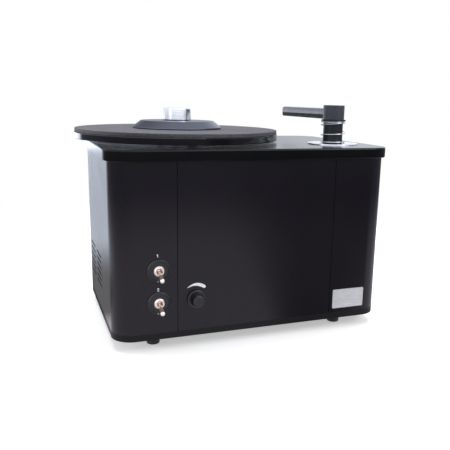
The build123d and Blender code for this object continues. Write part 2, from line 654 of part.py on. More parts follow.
def badge_plate():
    """Bare metal plate with a raised border, stuck to the right corner shell."""
    plate = extrude(RectangleRounded(BADGE_WIDTH, BADGE_HEIGHT, 1.6), BADGE_THICKNESS)
    inner = RectangleRounded(BADGE_WIDTH - 2 * BADGE_RIM, BADGE_HEIGHT - 2 * BADGE_RIM, 0.8)
    plate -= Pos(0, 0, BADGE_THICKNESS - BADGE_SINK) * extrude(inner, BADGE_THICKNESS)
    x = CABINET_WIDTH - BADGE_FROM_RIGHT - BADGE_WIDTH / 2
    return on_front(x, BADGE_BOTTOM + BADGE_HEIGHT / 2) * plate


# ---------------------------------------------------------------- turntable
def at_platter(shape):
    """Move a piece from the z axis to the platter's axis."""
    return Pos(PLATTER_X, PLATTER_Y, 0) * shape


def platter():
    """Platter disc with a rounded rim."""
    plate = ring(PLATTER_RADIUS, SPINDLE_RADIUS + SEATED, PLATTER_UNDER, MAT_UNDER)
    rim = plate.edges().filter_by(GeomType.CIRCLE).sort_by(lambda e: e.radius)[-2:]
    return at_platter(fillet(rim, 1.0))


def platter_mat():
    """Soft mat on the platter."""
    mat = ring(MAT_RADIUS, SPINDLE_RADIUS + 0.4, MAT_UNDER, MAT_TOP)
    rim = mat.edges().filter_by(GeomType.CIRCLE).sort_by(lambda e: e.radius)[-2:]
    return at_platter(fillet(rim, 0.8))


def platter_hub():
    """Flanged hub under the platter, running in the well of the top plate."""
    hub = disc(HUB_RADIUS, PLATTER_UNDER - HUB_FLANGE, PLATTER_UNDER)
    hub += disc(HUB_BOSS_RADIUS, PLATE_UNDER + APART, PLATTER_UNDER)
    return at_platter(hub - disc(SHAFT_RADIUS + SEATED, PLATE_UNDER, PLATTER_UNDER))


def spindle():
    """Stepped spindle: thick shaft below the platter, record pin above it."""
    low = COUPLER_MIDDLE + SHAFT_END_GAP
    top = MAT_TOP + SPINDLE_ABOVE_MAT
    pin = fillet(disc(SPINDLE_RADIUS, PLATTER_UNDER, top).edges().group_by(Axis.Z)[-1], 2.4)
    return at_platter(disc(SHAFT_RADIUS, low, PLATTER_UNDER) + pin)


def bearing_housing():
    """Flanged housing under the top plate with seats for two bushes."""
    housing = disc(HOUSING_FLANGE_RADIUS, PLATE_UNDER - HOUSING_FLANGE, PLATE_UNDER)
    housing += disc(HOUSING_RADIUS, HOUSING_BOTTOM, PLATE_UNDER)
    housing -= disc(SHAFT_RADIUS + HOUSING_BORE_GAP, HOUSING_BOTTOM, PLATE_UNDER)
    for low in bush_heights():
        housing -= disc(BUSH_RADIUS + SEATED, low, low + BUSH_LENGTH)
    for x, y in around(4, BEARING_SCREW_CIRCLE, 45.0):
        housing -= disc(BEARING_SCREW_RADIUS + SEATED, HOUSING_BOTTOM, PLATE_UNDER, x, y)
    return at_platter(housing)


def bush_heights():
    """Lower face of each spindle bush."""
    return (HOUSING_BOTTOM, PLATE_UNDER - BUSH_LENGTH)


def spindle_bushes():
    """Two plain bearings in the housing."""
    bore = SHAFT_RADIUS + RUNNING
    bushes = [ring(BUSH_RADIUS, bore, low, low + BUSH_LENGTH) for low in bush_heights()]
    return at_platter(Compound(children=bushes))


def bearing_screws():
    """Screws that hold the bearing housing to the top plate."""
    under = PLATE_UNDER - HOUSING_FLANGE
    low = under - BEARING_SCREW_HEAD_HEIGHT
    screws = []
    for x, y in around(4, BEARING_SCREW_CIRCLE, 45.0):
        screw = disc(BEARING_SCREW_RADIUS, under, PLATE_UNDER + BEARING_SCREW_DEPTH)
        screw += disc(BEARING_SCREW_HEAD, low, under)
        socket = Pos(0, 0, low) * extrude(RegularPolygon(BEARING_SCREW_SOCKET, 6), 2.4)
        screws.append(Pos(x, y, 0) * (screw - socket))
    return at_platter(Compound(children=screws))


def shaft_coupler():
    """Split clamp coupling between the gearmotor's shaft and the spindle."""
    sleeve = disc(COUPLER_RADIUS, COUPLER_BOTTOM, COUPLER_TOP)
    sleeve -= disc(SHAFT_RADIUS + SEATED, COUPLER_MIDDLE, COUPLER_TOP)
    sleeve -= disc(MOTOR_SHAFT_RADIUS + SEATED, COUPLER_BOTTOM, COUPLER_MIDDLE)
    screw_x = SHAFT_RADIUS + COUPLER_SCREW_GAP + COUPLER_SCREW_RADIUS
    bore = Rot(90, 0, 0) * Cylinder(COUPLER_SCREW_RADIUS, 2 * COUPLER_RADIUS)
    for low in (COUPLER_BOTTOM, COUPLER_MIDDLE + 2.0):
        high = low + COUPLER_LENGTH / 2 - 2.0
        sleeve -= block(0, COUPLER_RADIUS, -COUPLER_SLIT / 2, COUPLER_SLIT / 2, low, high)
        sleeve -= Pos(screw_x, 0, (low + high) / 2) * bore
    return at_platter(sleeve)


def gearmotor():
    """Closed gearbox with its motor can and output nose."""
    case = extrude(RectangleRounded(GEARBOX_SIDE, GEARBOX_SIDE, 6.0), GEARBOX_HEIGHT)
    case = Pos(0, 0, GEARBOX_BOTTOM) * case
    case += disc(MOTOR_CAN_RADIUS, GEARBOX_BOTTOM - MOTOR_CAN_HEIGHT, GEARBOX_TOP)
    case += disc(MOTOR_NOSE_RADIUS, GEARBOX_TOP, MOTOR_PLATE_TOP + MOTOR_NOSE_HEIGHT)
    hole_low = GEARBOX_TOP - MOTOR_SHAFT_DEPTH - 1.0
    return at_platter(case - disc(MOTOR_SHAFT_RADIUS + RUNNING, hole_low, COUPLER_TOP))


def gearmotor_shaft():
    """Output shaft of the gearmotor."""
    low, high = GEARBOX_TOP - MOTOR_SHAFT_DEPTH, COUPLER_MIDDLE - SHAFT_END_GAP
    return at_platter(disc(MOTOR_SHAFT_RADIUS, low, high))


def motor_plate():
    """Plate that carries the gearmotor under the standoffs."""
    plate = extrude(RectangleRounded(MOTOR_PLATE_SIDE, MOTOR_PLATE_SIDE, 8.0), MOTOR_PLATE_THICKNESS)
    plate = Pos(0, 0, GEARBOX_TOP) * plate
    return at_platter(plate - disc(MOTOR_NOSE_RADIUS + SEATED, GEARBOX_TOP, MOTOR_PLATE_TOP))


def motor_standoffs():
    """Four hexagonal standoffs between the top plate and the motor plate."""
    rods = []
    for sx in (-1, 1):
        for sy in (-1, 1):
            rod = extrude(RegularPolygon(STANDOFF_RADIUS, 6), PLATE_UNDER - MOTOR_PLATE_TOP)
            rods.append(Pos(sx * STANDOFF_OFFSET, sy * STANDOFF_OFFSET, MOTOR_PLATE_TOP) * rod)
    return at_platter(Compound(children=rods))


# ---------------------------------------------------------------- record clamp
def clamp_disc():
    """Low conical disc, hollow below so that it bears only near its rim."""
    under = CLAMP_UNDER + SEAL_THICKNESS
    hollow = under + CLAMP_HOLLOW_DEPTH
    bore = KNOB_STEM_RADIUS + APART
    body = turned([
        (bore, hollow), (CLAMP_HOLLOW_RADIUS, hollow), (CLAMP_HOLLOW_RADIUS, under),
        (CLAMP_RADIUS, under), (CLAMP_RADIUS, under + CLAMP_LIP),
        (CLAMP_TOP_RADIUS, CLAMP_TOP), (bore, CLAMP_TOP)])
    rings = body.edges().filter_by(GeomType.CIRCLE)
    shoulder = rings.filter_by(lambda e: abs(e.radius - CLAMP_TOP_RADIUS) < 0.01)
    return at_platter(fillet(shoulder, 1.2))


def clamp_seal():
    """Rubber ring under the clamp's rim."""
    outer, inner = CLAMP_RADIUS - SEAL_INSET, CLAMP_RADIUS - SEAL_WIDTH
    return at_platter(ring(outer, inner, CLAMP_UNDER, CLAMP_UNDER + SEAL_THICKNESS))


def clamp_knob():
    """Turned metal knob with a groove, a bevelled base and a stem that grips the spindle."""
    low, high = KNOB_UNDER, KNOB_UNDER + KNOB_HEIGHT
    groove = low + KNOB_GROOVE_HEIGHT
    bore, stem = SPINDLE_RADIUS + 2 * RUNNING, low - KNOB_STEM_LENGTH
    knob = turned([
        (bore, stem), (KNOB_STEM_RADIUS, stem), (KNOB_STEM_RADIUS, low),
        (KNOB_RADIUS - KNOB_BASE_BEVEL, low), (KNOB_RADIUS, low + KNOB_BASE_BEVEL),
        (KNOB_RADIUS, groove), (KNOB_RADIUS - KNOB_GROOVE, groove),
        (KNOB_RADIUS - KNOB_GROOVE, groove + KNOB_GROOVE), (KNOB_RADIUS, groove + KNOB_GROOVE),
        (KNOB_RADIUS, high), (0, high), (0, high - KNOB_ROOF), (bore, high - KNOB_ROOF)])
    crown = knob.edges().group_by(Axis.Z)[-1].filter_by(GeomType.CIRCLE)
    return at_platter(fillet(crown, 1.0))


# ---------------------------------------------------------------- suction arm
def at_arm(shape):
    """Move a piece from the z axis to the arm's axis."""
    return Pos(ARM_X, ARM_Y, 0) * shape


def along_arm(shape):
    """Turn a piece that was drawn along +X to the arm's parked direction."""
    return at_arm(Rot(0, 0, ARM_PARK_ANGLE) * shape)


def arm_base_disc():
    """Bright metal disc under the spring, with countersunk screw holes."""
    plate = ring(BASE_DISC_RADIUS, PIPE_RADIUS + BASE_DISC_BORE_GAP, TOP_HEIGHT, DISC_TOP)
    rim = plate.edges().group_by(Axis.Z)[-1].filter_by(lambda e: e.radius > SPRING_RADIUS)
    plate = fillet(rim, 0.5)
    radius, head = BASE_SCREW_RADIUS + SEATED, BASE_SCREW_HEAD + SEATED
    for x, y in around(4, BASE_SCREW_CIRCLE):
        plate -= Pos(x, y, 0) * countersunk(radius, head, DISC_TOP, 2 * BASE_DISC_THICKNESS)
    return at_arm(plate)


def countersunk(radius, head, top, length):
    """Countersunk screw outline, its flat head level with a height."""
    low, neck = top - length, top - (head - radius)
    return turned([(0, low), (radius, low), (radius, neck), (head, top), (0, top)])


def arm_base_screws():
    """Countersunk screws of the base disc."""
    screws = []
    for x, y in around(4, BASE_SCREW_CIRCLE):
        screw = countersunk(BASE_SCREW_RADIUS, BASE_SCREW_HEAD, DISC_TOP, BASE_SCREW_LENGTH)
        recess = Pos(0, 0, DISC_TOP) * (Box(2.6, 0.6, 1.4) + Box(0.6, 2.6, 1.4))
        screws.append(Pos(x, y, 0) * (screw - recess))
    return at_arm(Compound(children=screws))


def arm_guide():
    """Guide tube through the top plate, closed below by the nozzle for the tank's hose."""
    guide = disc(GUIDE_RADIUS, GUIDE_BOTTOM, TOP_HEIGHT)
    guide += disc(GUIDE_FLANGE_RADIUS, PLATE_UNDER - GUIDE_FLANGE, PLATE_UNDER)
    guide += disc(NOZZLE_RADIUS, GUIDE_NOZZLE_END, GUIDE_BOTTOM)
    guide -= disc(GUIDE_BORE, GUIDE_BOTTOM + GUIDE_FLOOR, TOP_HEIGHT)
    return at_arm(guide - disc(NOZZLE_BORE, GUIDE_NOZZLE_END, GUIDE_BOTTOM + GUIDE_FLOOR))


def arm_bushes():
    """Upper and lower bush that guide the sliding pipe."""
    outer, inner = GUIDE_BORE - SEATED, PIPE_RADIUS + RUNNING
    lows = (UPPER_BUSH_UNDER, TOP_HEIGHT - LOWER_BUSH_DEPTH - ARM_BUSH_LENGTH)
    bushes = [ring(outer, inner, low, low + ARM_BUSH_LENGTH) for low in lows]
    return at_arm(Compound(children=bushes))


def arm_pipe():
    """Sliding pipe, with a groove for the stop clip."""
    low = CLIP_TOP - CLIP_THICKNESS
    pipe = ring(PIPE_RADIUS, PIPE_BORE, PIPE_BOTTOM, PIPE_TOP)
    return at_arm(pipe - ring(PIPE_RADIUS + 1, PIPE_RADIUS - CLIP_GROOVE, low, CLIP_TOP))


def arm_clip():
    """Stop clip on the pipe, under the upper bush."""
    low = CLIP_TOP - CLIP_THICKNESS
    clip = ring(CLIP_RADIUS, PIPE_RADIUS - CLIP_GROOVE + SEATED, low, CLIP_TOP)
    return along_arm(clip - block(0, CLIP_RADIUS, -CLIP_MOUTH / 2, CLIP_MOUTH / 2, low, CLIP_TOP))


def spring_seat():
    """Ring on top of the spring, which carries the arm's head."""
    seat = ring(SEAT_RADIUS, PIPE_RADIUS + APART, SEAT_UNDER, SEAT_UNDER + SEAT_THICKNESS)
    rim = seat.edges().filter_by(GeomType.CIRCLE).filter_by(lambda e: e.radius > SPRING_RADIUS)
    return at_arm(fillet(rim, 0.5))


def arm_head():
    """Closed cap over the pipe, with the socket of the arm tube in its side."""
    head = disc(HEAD_RADIUS, HEAD_UNDER, HEAD_TOP)
    head = fillet(head.edges().group_by(Axis.Z)[-1], HEAD_EDGE)
    head -= disc(PIPE_RADIUS + SEATED, HEAD_UNDER, PIPE_TOP)
    head -= disc(PIPE_BORE, PIPE_TOP, HEAD_TOP - HEAD_ROOF)
    return at_arm(head) - along_arm(tube_bar(SEATED, TUBE_IN_HEAD - 1.0, HEAD_RADIUS + 2.0))


def tube_outline(grow):
    """Section of the arm tube, grown or drawn in by a distance."""
    height = TUBE_HEIGHT + 2 * grow
    box = Pos(0, TUBE_HEIGHT / 2) * Rectangle(TUBE_WIDTH + 2 * grow, height)
    upper = box.vertices().group_by(Axis.Y)[-1]
    section = fillet(upper, TUBE_UPPER_CORNER + grow)
    lower = section.vertices().group_by(Axis.Y)[0]
    return fillet(lower, max(TUBE_LOWER_CORNER + grow, 0.3))


def tube_bar(grow, start, end):
    """Solid bar with the arm tube's section, along +X."""
    across = Plane(origin=(start, 0, TUBE_UNDER), x_dir=(0, 1, 0), z_dir=(1, 0, 0)).location
    return across * extrude(tube_outline(grow), end - start)


def arm_tube():
    """Hollow arm tube with the suction slot in its underside."""
    end = ARM_LENGTH - CAP_LENGTH
    tube = tube_bar(0, TUBE_IN_HEAD, end) - tube_bar(-TUBE_WALL, TUBE_IN_HEAD, end)
    slot_end, half = end - SLOT_END_MARGIN, SLOT_WIDTH / 2
    tube -= block(SLOT_START, slot_end, -half, half, TUBE_UNDER, TUBE_UNDER + TUBE_WALL)
    return along_arm(tube)


def arm_end_cap():
    """Rounded cap that plugs the end of the arm tube."""
    start = ARM_LENGTH - CAP_LENGTH
    cap = tube_bar(0, start, ARM_LENGTH)
    cap = fillet(cap.faces().sort_by(Axis.X)[-1].edges(), CAP_EDGE)
    return along_arm(cap + tube_bar(-TUBE_WALL - SEATED, start - CAP_PLUG, start))


def velvet_strips():
    """Two soft strips under the arm tube, one on each side of the slot."""
    strips = []
    for side in (-1, 1):
        inner, outer = SLOT_WIDTH / 2, SLOT_WIDTH / 2 + VELVET_WIDTH
        y0, y1 = sorted((side * inner, side * outer))
        strip = block(VELVET_START, ARM_LENGTH, y0, y1, TUBE_UNDER - VELVET_HEIGHT, TUBE_UNDER)
        strip = fillet(strip.edges().filter_by(Axis.Y).group_by(Axis.X)[-1].group_by(Axis.Z)[0], VELVET_EDGE)
        strips.append(strip)
    return along_arm(Compound(children=strips))


# ---------------------------------------------------------------- lifting spring
def ramped(turns):
    """Turns counted from where the pitch starts to change, less what the ramp takes."""
    if turns <= 0:
        return 0.0
    if turns < SPRING_RAMP:
        return turns * turns / (2 * SPRING_RAMP)
    return turns - SPRING_RAMP / 2


def lean_window(turns):
    """How fully the free turns lean: nothing at the closed ends, all of it in between."""
    reach = 2 * SPRING_RAMP
    rise = min(max((turns - SPRING_CLOSED_TURNS) / reach, 0.0), 1.0)
    fall = min(max((SPRING_TURNS - SPRING_CLOSED_TURNS - turns) / reach, 0.0), 1.0)
    return rise * rise * (3 - 2 * rise) * fall * fall * (3 - 2 * fall)


def spring_point(turns):
    """Middle of the wire after a number of turns."""
    low, high = DISC_TOP + SPRING_WIRE, SEAT_UNDER - SPRING_WIRE
    first = SPRING_CLOSED_TURNS
    last = SPRING_TURNS - SPRING_CLOSED_TURNS - SPRING_RAMP
    free_turns = ramped(SPRING_TURNS - first) - ramped(SPRING_TURNS - last)
    extra_pitch = (high - low - SPRING_CLOSED_PITCH * SPRING_TURNS) / free_turns
    height = low + SPRING_CLOSED_PITCH * turns + extra_pitch * (ramped(turns - first) - ramped(turns - last))
    angle = math.radians(SPRING_START_ANGLE + 360.0 * turns)
    height += SPRING_LEAN * lean_window(turns) * math.cos(angle - math.radians(SPRING_LEAN_ANGLE))
    return Vector(SPRING_RADIUS * math.cos(angle), SPRING_RADIUS * math.sin(angle), height)


def spring_tangent(turns):
    """Direction of the wire after a number of turns."""
    step = 0.001
    return (spring_point(turns + step) - spring_point(turns - step)).normalized()


def biarc(start, start_way, end, end_way):
    """Two arcs that join two points with a given direction at each."""
    span = end - start
    ways = start_way + end_way
    twist = 2 * (1 - start_way.dot(end_way))
    reach = (-span.dot(ways) + math.sqrt(span.dot(ways) ** 2 + twist * span.dot(span))) / twist
    middle = (start + end + (start_way - end_way) * reach) * 0.5
    middle_way = (end - end_way * reach) - (start + start_way * reach)
    return [TangentArc(start, middle, tangent=start_way), TangentArc(middle, end, tangent=middle_way)]


def arm_spring():
    """Lifting spring: one wire with closed end turns and wide free turns."""
    count = round(SPRING_TURNS * SPRING_STEPS_PER_TURN)
    marks = [k / SPRING_STEPS_PER_TURN for k in range(count + 1)]
    arcs = []
    for a, b in zip(marks, marks[1:]):
        arcs += biarc(spring_point(a), spring_tangent(a), spring_point(b), spring_tangent(b))
    path = Wire(arcs)
    section = Plane(origin=spring_point(0), z_dir=spring_tangent(0)) * Circle(SPRING_WIRE)
    return at_arm(sweep(section, path=path))


def spring_self_gap():
    """Least gap between neighbouring turns of the spring, measured on points."""
    fine = 72
    points = [spring_point(k / fine) for k in range(round(SPRING_TURNS * fine) + 1)]
    last = len(points)
    pairs = [(i, j) for i in range(last) for j in range(i + fine // 2, last)]
    return min((points[i] - points[j]).length for i, j in pairs) - 2 * SPRING_WIRE


# ---------------------------------------------------------------- controls
def switch_bezels():
    """Round black bezels with a raised rim behind the toggle switches."""
    rim = BEZEL_RADIUS - BEZEL_RIM_WIDTH
    bezels = []
    for height in SWITCH_HEIGHTS:
        bezel = turned([
            (BUSHING_RADIUS + SEATED, 0), (BEZEL_RADIUS, 0),
            (BEZEL_RADIUS, BEZEL_RIM_HEIGHT - BEZEL_EDGE), (BEZEL_RADIUS - BEZEL_EDGE, BEZEL_RIM_HEIGHT),
            (rim + BEZEL_EDGE / 2, BEZEL_RIM_HEIGHT), (rim, BEZEL_THICKNESS),
            (BUSHING_RADIUS + SEATED, BEZEL_THICKNESS)])
        bezels.append(on_front(SWITCH_X, height) * bezel)
    return Compound(children=bezels)


def toggle_switches():
    """Switch bodies behind the wall with their threaded bushings and solder lugs."""
    switches = []
    for height in SWITCH_HEIGHTS:
        inner = -WALL
        body = Pos(0, 0, inner - SWITCH_BODY_DEPTH / 2)
        body = body * Box(SWITCH_BODY_WIDTH, SWITCH_BODY_HEIGHT, SWITCH_BODY_DEPTH)
        body += disc(BUSHING_RADIUS, inner, BUSHING_REACH)
        body -= turned([
            (0, BUSHING_REACH - BUSHING_DEPTH), (TOGGLE_BALL_RADIUS + 0.4, BUSHING_REACH - BUSHING_DEPTH),
            (BUSHING_RADIUS - BUSHING_MOUTH_WALL, BUSHING_REACH), (0, BUSHING_REACH)])
        for lug in (-LUG_PITCH, 0.0, LUG_PITCH):
            body += Pos(0, lug, inner - SWITCH_BODY_DEPTH - LUG_LENGTH / 2) * Box(5.0, 1.0, LUG_LENGTH)
        switches.append(on_front(SWITCH_X, height) * body)
    return Compound(children=switches)


def switch_nuts():
    """Bevelled round nuts that clamp the bezels."""
    nuts = []
    for height in SWITCH_HEIGHTS:
        nut = ring(NUT_RADIUS, BUSHING_RADIUS + SEATED, BEZEL_THICKNESS, BEZEL_THICKNESS + NUT_THICKNESS)
        rim = nut.edges().filter_by(GeomType.CIRCLE).sort_by(lambda e: e.radius)[-2:]
        nuts.append(on_front(SWITCH_X, height) * chamfer(rim.sort_by(Axis.Z)[-1:], NUT_BEVEL))
    return Compound(children=nuts)


def toggle_lever(height):
    """Bat-shaped lever, pointing down, on its pivot inside the bushing."""
    tip = TOGGLE_REACH
    ball = Sphere(TOGGLE_BALL_RADIUS)
    bulge = TOGGLE_TIP_RADIUS * 0.97
    shank = turned([(0, 0), (TOGGLE_NECK_RADIUS, 0), (bulge, tip - 0.8), (0, tip - 0.8)])
    end = Pos(0, 0, tip) * Sphere(TOGGLE_TIP_RADIUS)
    return on_front(SWITCH_X, height) * Rot(TOGGLE_TILT, 0, 0) * (ball + shank + end)


def speed_knob():
    """Small rotary knob with a skirt and a pointer line."""
    low = SPEED_GAP
    knob = turned([
        (0, low), (SPEED_SKIRT_RADIUS, low), (SPEED_SKIRT_RADIUS, low + SPEED_SKIRT_HEIGHT),
        (SPEED_BASE_RADIUS, low + SPEED_SKIRT_HEIGHT), (SPEED_TOP_RADIUS, SPEED_REACH), (0, SPEED_REACH)])
    knob = fillet(knob.edges().group_by(Axis.Z)[-1], 1.4)
    skirt = knob.edges().filter_by(GeomType.CIRCLE).sort_by(lambda e: e.radius)[-2:]
    knob = fillet(skirt.sort_by(Axis.Z)[-1:], 1.2)
    knob -= disc(POT_SHAFT_RADIUS + SEATED, 0, POT_SHAFT_REACH + 0.2)
    knob -= disc(POT_BUSHING_RADIUS + 1.0, 0, POT_BUSHING_REACH + APART)
    knob -= block(-POINTER_WIDTH / 2, POINTER_WIDTH / 2, POINTER_START, SPEED_TOP_RADIUS,
                  SPEED_REACH - POINTER_DEPTH, SPEED_REACH)
    return on_front(SPEED_X, SPEED_HEIGHT) * Rot(0, 0, POINTER_ANGLE) * knob


def speed_shaft():
    """Shaft of the speed control, inside its bushing and the knob."""
    shaft = disc(POT_SHAFT_RADIUS, -WALL - POT_SHAFT_DEPTH, POT_SHAFT_REACH)
    return on_front(SPEED_X, SPEED_HEIGHT) * shaft


def speed_control():
    """Body and bushing of the speed control behind the front panel."""
    body = disc(POT_RADIUS, -WALL - POT_DEPTH, -WALL) + disc(POT_BUSHING_RADIUS, -WALL, POT_BUSHING_REACH)
    body -= disc(POT_SHAFT_RADIUS + RUNNING, -WALL - POT_SHAFT_DEPTH - 0.5, POT_BUSHING_REACH)
    body += Pos(0, -POT_RADIUS - 2.0, -WALL - 3.0) * Box(12.0, 8.0, 2.0)
    return on_front(SPEED_X, SPEED_HEIGHT) * body


# ---------------------------------------------------------------- suction and drain
def tank_block(inset, low, high):
    """Rounded block over the tank's outline, drawn in by an inset."""
    depth = TANK_REAR - TANK_FRONT
    outline = RectangleRounded(TANK_WIDTH - 2 * inset, depth - 2 * inset, TANK_CORNER - inset)
    place = Pos((TANK_LEFT + TANK_RIGHT) / 2, (TANK_FRONT + TANK_REAR) / 2, low)
    return place * extrude(outline, high - low)


def waste_tank():
    """Open tank for the used fluid, with the hole of the drain pipe."""
    tank = tank_block(0, TRAY_TOP, TANK_TOP) - tank_block(TANK_WALL, TRAY_TOP + TANK_WALL, TANK_TOP)
    drain = Pos(DRAIN_X, TANK_REAR, DRAIN_HEIGHT) * Rot(90, 0, 0)
    return tank - drain * Cylinder(DRAIN_PIPE_RADIUS + SEATED, 4 * TANK_WALL)


def tank_lid():
    """Lid with a lip inside the tank and two hose nozzles."""
    lid = tank_block(0, TANK_TOP, LID_TOP)
    lid += tank_block(TANK_WALL + SEATED, TANK_TOP - LID_LIP, TANK_TOP)
    for x, y in ((ARM_X, ARM_Y), (ARM_X, OUTLET_Y)):
        lid += disc(NOZZLE_RADIUS, LID_TOP, LID_TOP + NOZZLE_LENGTH, x, y)
        lid -= disc(NOZZLE_BORE, TANK_TOP - LID_LIP, LID_TOP + NOZZLE_LENGTH, x, y)
    return lid


def tank_hose():
    """Short straight hose between the arm's guide and the tank."""
    inner = NOZZLE_RADIUS + SEATED
    return at_arm(ring(inner + HOSE_WALL, inner, LID_TOP, GUIDE_BOTTOM))


def vacuum_hose():
    """Bent hose from the tank's lid over to the suction motor's inlet."""
    outer = NOZZLE_RADIUS + SEATED + HOSE_WALL
    crest = PLATE_UNDER - HOSE_TOP_GAP - outer
    rise = crest - max(LID_TOP, FAN_TOP) - NOZZLE_LENGTH
    bend = min((ARM_X - FAN_X) / 2 - 2 * HOSE_BEND_GAP, rise - HOSE_BEND_GAP)
    corners = [(ARM_X, LID_TOP), (ARM_X, crest), (FAN_X, crest), (FAN_X, FAN_TOP)]
    line = FilletPolyline(*[(x, OUTLET_Y, z) for x, z in corners], radius=bend)
    section = Plane(origin=(ARM_X, OUTLET_Y, LID_TOP), z_dir=(0, 0, 1))
    section = section * (Circle(outer) - Circle(NOZZLE_RADIUS + SEATED))
    return sweep(section, path=line)


def fan_housing():
    """Housing of the suction fan with its inlet nozzle on top and its outlet to the exhaust duct."""
    duct_rear = DUCT_FRONT + DUCT_WIDTH
    duct_top = DUCT_BOTTOM + DUCT_HEIGHT
    shell = disc(FAN_RADIUS, FAN_BOTTOM, FAN_TOP, FAN_X, FAN_Y)
    shell += block(DUCT_START, FAN_X, DUCT_FRONT, duct_rear, DUCT_BOTTOM, duct_top)
    shell += disc(NOZZLE_RADIUS, FAN_TOP, FAN_TOP + NOZZLE_LENGTH, FAN_X, FAN_Y)
    shell -= disc(FAN_RADIUS - FAN_SHELL, FAN_BOTTOM + FAN_SHELL, FAN_TOP - FAN_SHELL, FAN_X, FAN_Y)
    shell -= block(DUCT_START, FAN_X, DUCT_FRONT + DUCT_WALL, duct_rear - DUCT_WALL,
                   DUCT_BOTTOM + DUCT_WALL, duct_top - DUCT_WALL)
    shell -= disc(NOZZLE_BORE, FAN_TOP - FAN_SHELL, FAN_TOP + NOZZLE_LENGTH, FAN_X, FAN_Y)
    return shell - disc(ROTOR_SHAFT_RADIUS + 1.0, FAN_BOTTOM, FAN_BOTTOM + FAN_SHELL, FAN_X, FAN_Y)


def suction_motor():
    """Motor frame with cooling openings, a bearing at each end and a foot flange."""
    top = FAN_BOTTOM
    foot_top = MOTOR_BASE + SUCTION_MOTOR_FOOT_HEIGHT
    frame = disc(SUCTION_MOTOR_RADIUS, MOTOR_BASE, top)
    frame += disc(SUCTION_MOTOR_RADIUS + SUCTION_MOTOR_FOOT, MOTOR_BASE, foot_top)
    frame -= disc(SUCTION_MOTOR_BORE, MOTOR_BASE + SUCTION_MOTOR_END, top - SUCTION_MOTOR_END)
    frame -= disc(ROTOR_SHAFT_RADIUS + RUNNING, MOTOR_BASE + ROTOR_SHAFT_GAP - 1.0, top)
    window = Box(WINDOW_DEPTH, WINDOW_WIDTH, WINDOW_HEIGHT)
    window = Pos(SUCTION_MOTOR_RADIUS - WINDOW_DEPTH / 2, 0, (MOTOR_BASE + top) / 2) * window
    for k in range(WINDOW_COUNT):
        frame -= Rot(0, 0, 360.0 * k / WINDOW_COUNT) * window
    return Pos(FAN_X, FAN_Y, 0) * frame


def motor_mounts():
    """Rubber mounts between the tray and the suction motor."""
    places = around(3, MOUNT_CIRCLE, 90.0)
    mounts = [ring(MOUNT_RADIUS, MOUNT_BORE, TRAY_TOP, MOTOR_BASE, x, y) for x, y in places]
    return Pos(FAN_X, FAN_Y, 0) * Compound(children=mounts)


def suction_rotor():
    """Armature, shaft and vaned fan wheel of the suction motor."""
    wheel_low = FAN_BOTTOM + FAN_SHELL + WHEEL_LIFT
    vane_top = FAN_TOP - FAN_SHELL - VANE_TOP_GAP
    inset = SUCTION_MOTOR_END + ARMATURE_END_GAP
    rotor = disc(ROTOR_SHAFT_RADIUS, MOTOR_BASE + ROTOR_SHAFT_GAP, vane_top)
    rotor += disc(ARMATURE_RADIUS, MOTOR_BASE + inset, FAN_BOTTOM - inset)
    rotor += disc(WHEEL_RADIUS, wheel_low, wheel_low + WHEEL_THICKNESS)
    rotor += disc(ROTOR_SHAFT_RADIUS + WHEEL_HUB_WALL, wheel_low, wheel_low + WHEEL_HUB_HEIGHT)
    bow = WHEEL_RADIUS * 0.8
    swept = ring(bow, bow - VANE_THICKNESS, wheel_low, vane_top, WHEEL_RADIUS * 0.62)
    reach = ring(WHEEL_RADIUS - 1.0, VANE_START, wheel_low, vane_top)
    vane = swept & reach & block(-WHEEL_RADIUS, WHEEL_RADIUS, 0, WHEEL_RADIUS, wheel_low, vane_top)
    for k in range(VANE_COUNT):
        rotor += Rot(0, 0, 360.0 * k / VANE_COUNT) * vane
    return Pos(FAN_X, FAN_Y, 0) * rotor


def exhaust_duct():
    """Duct from the fan to a flat box behind the ventilation slots of the left wall."""
    rear, top = DUCT_FRONT + DUCT_WIDTH, DUCT_BOTTOM + DUCT_HEIGHT
    box_front = VENT_COLUMNS[0] - VENT_LENGTH / 2 - PLENUM_MARGIN
    box_rear = max(VENT_COLUMNS[-1] + VENT_LENGTH / 2 + PLENUM_MARGIN, rear)
    box_low = VENT_LOWEST - VENT_HEIGHT - PLENUM_MARGIN
    box_high = max(VENT_LOWEST + VENT_ROWS * VENT_PITCH + PLENUM_MARGIN, top)
    inside = WALL + PLENUM_DEPTH
    duct = block(inside - DUCT_WALL, DUCT_START, DUCT_FRONT, rear, DUCT_BOTTOM, top)
    duct += block(WALL, inside, box_front, box_rear, box_low, box_high)
    duct -= block(WALL, inside - DUCT_WALL, box_front + DUCT_WALL, box_rear - DUCT_WALL,
                  box_low + DUCT_WALL, box_high - DUCT_WALL)
    return duct - block(WALL, DUCT_START, DUCT_FRONT + DUCT_WALL, rear - DUCT_WALL,
                        DUCT_BOTTOM + DUCT_WALL, top - DUCT_WALL)


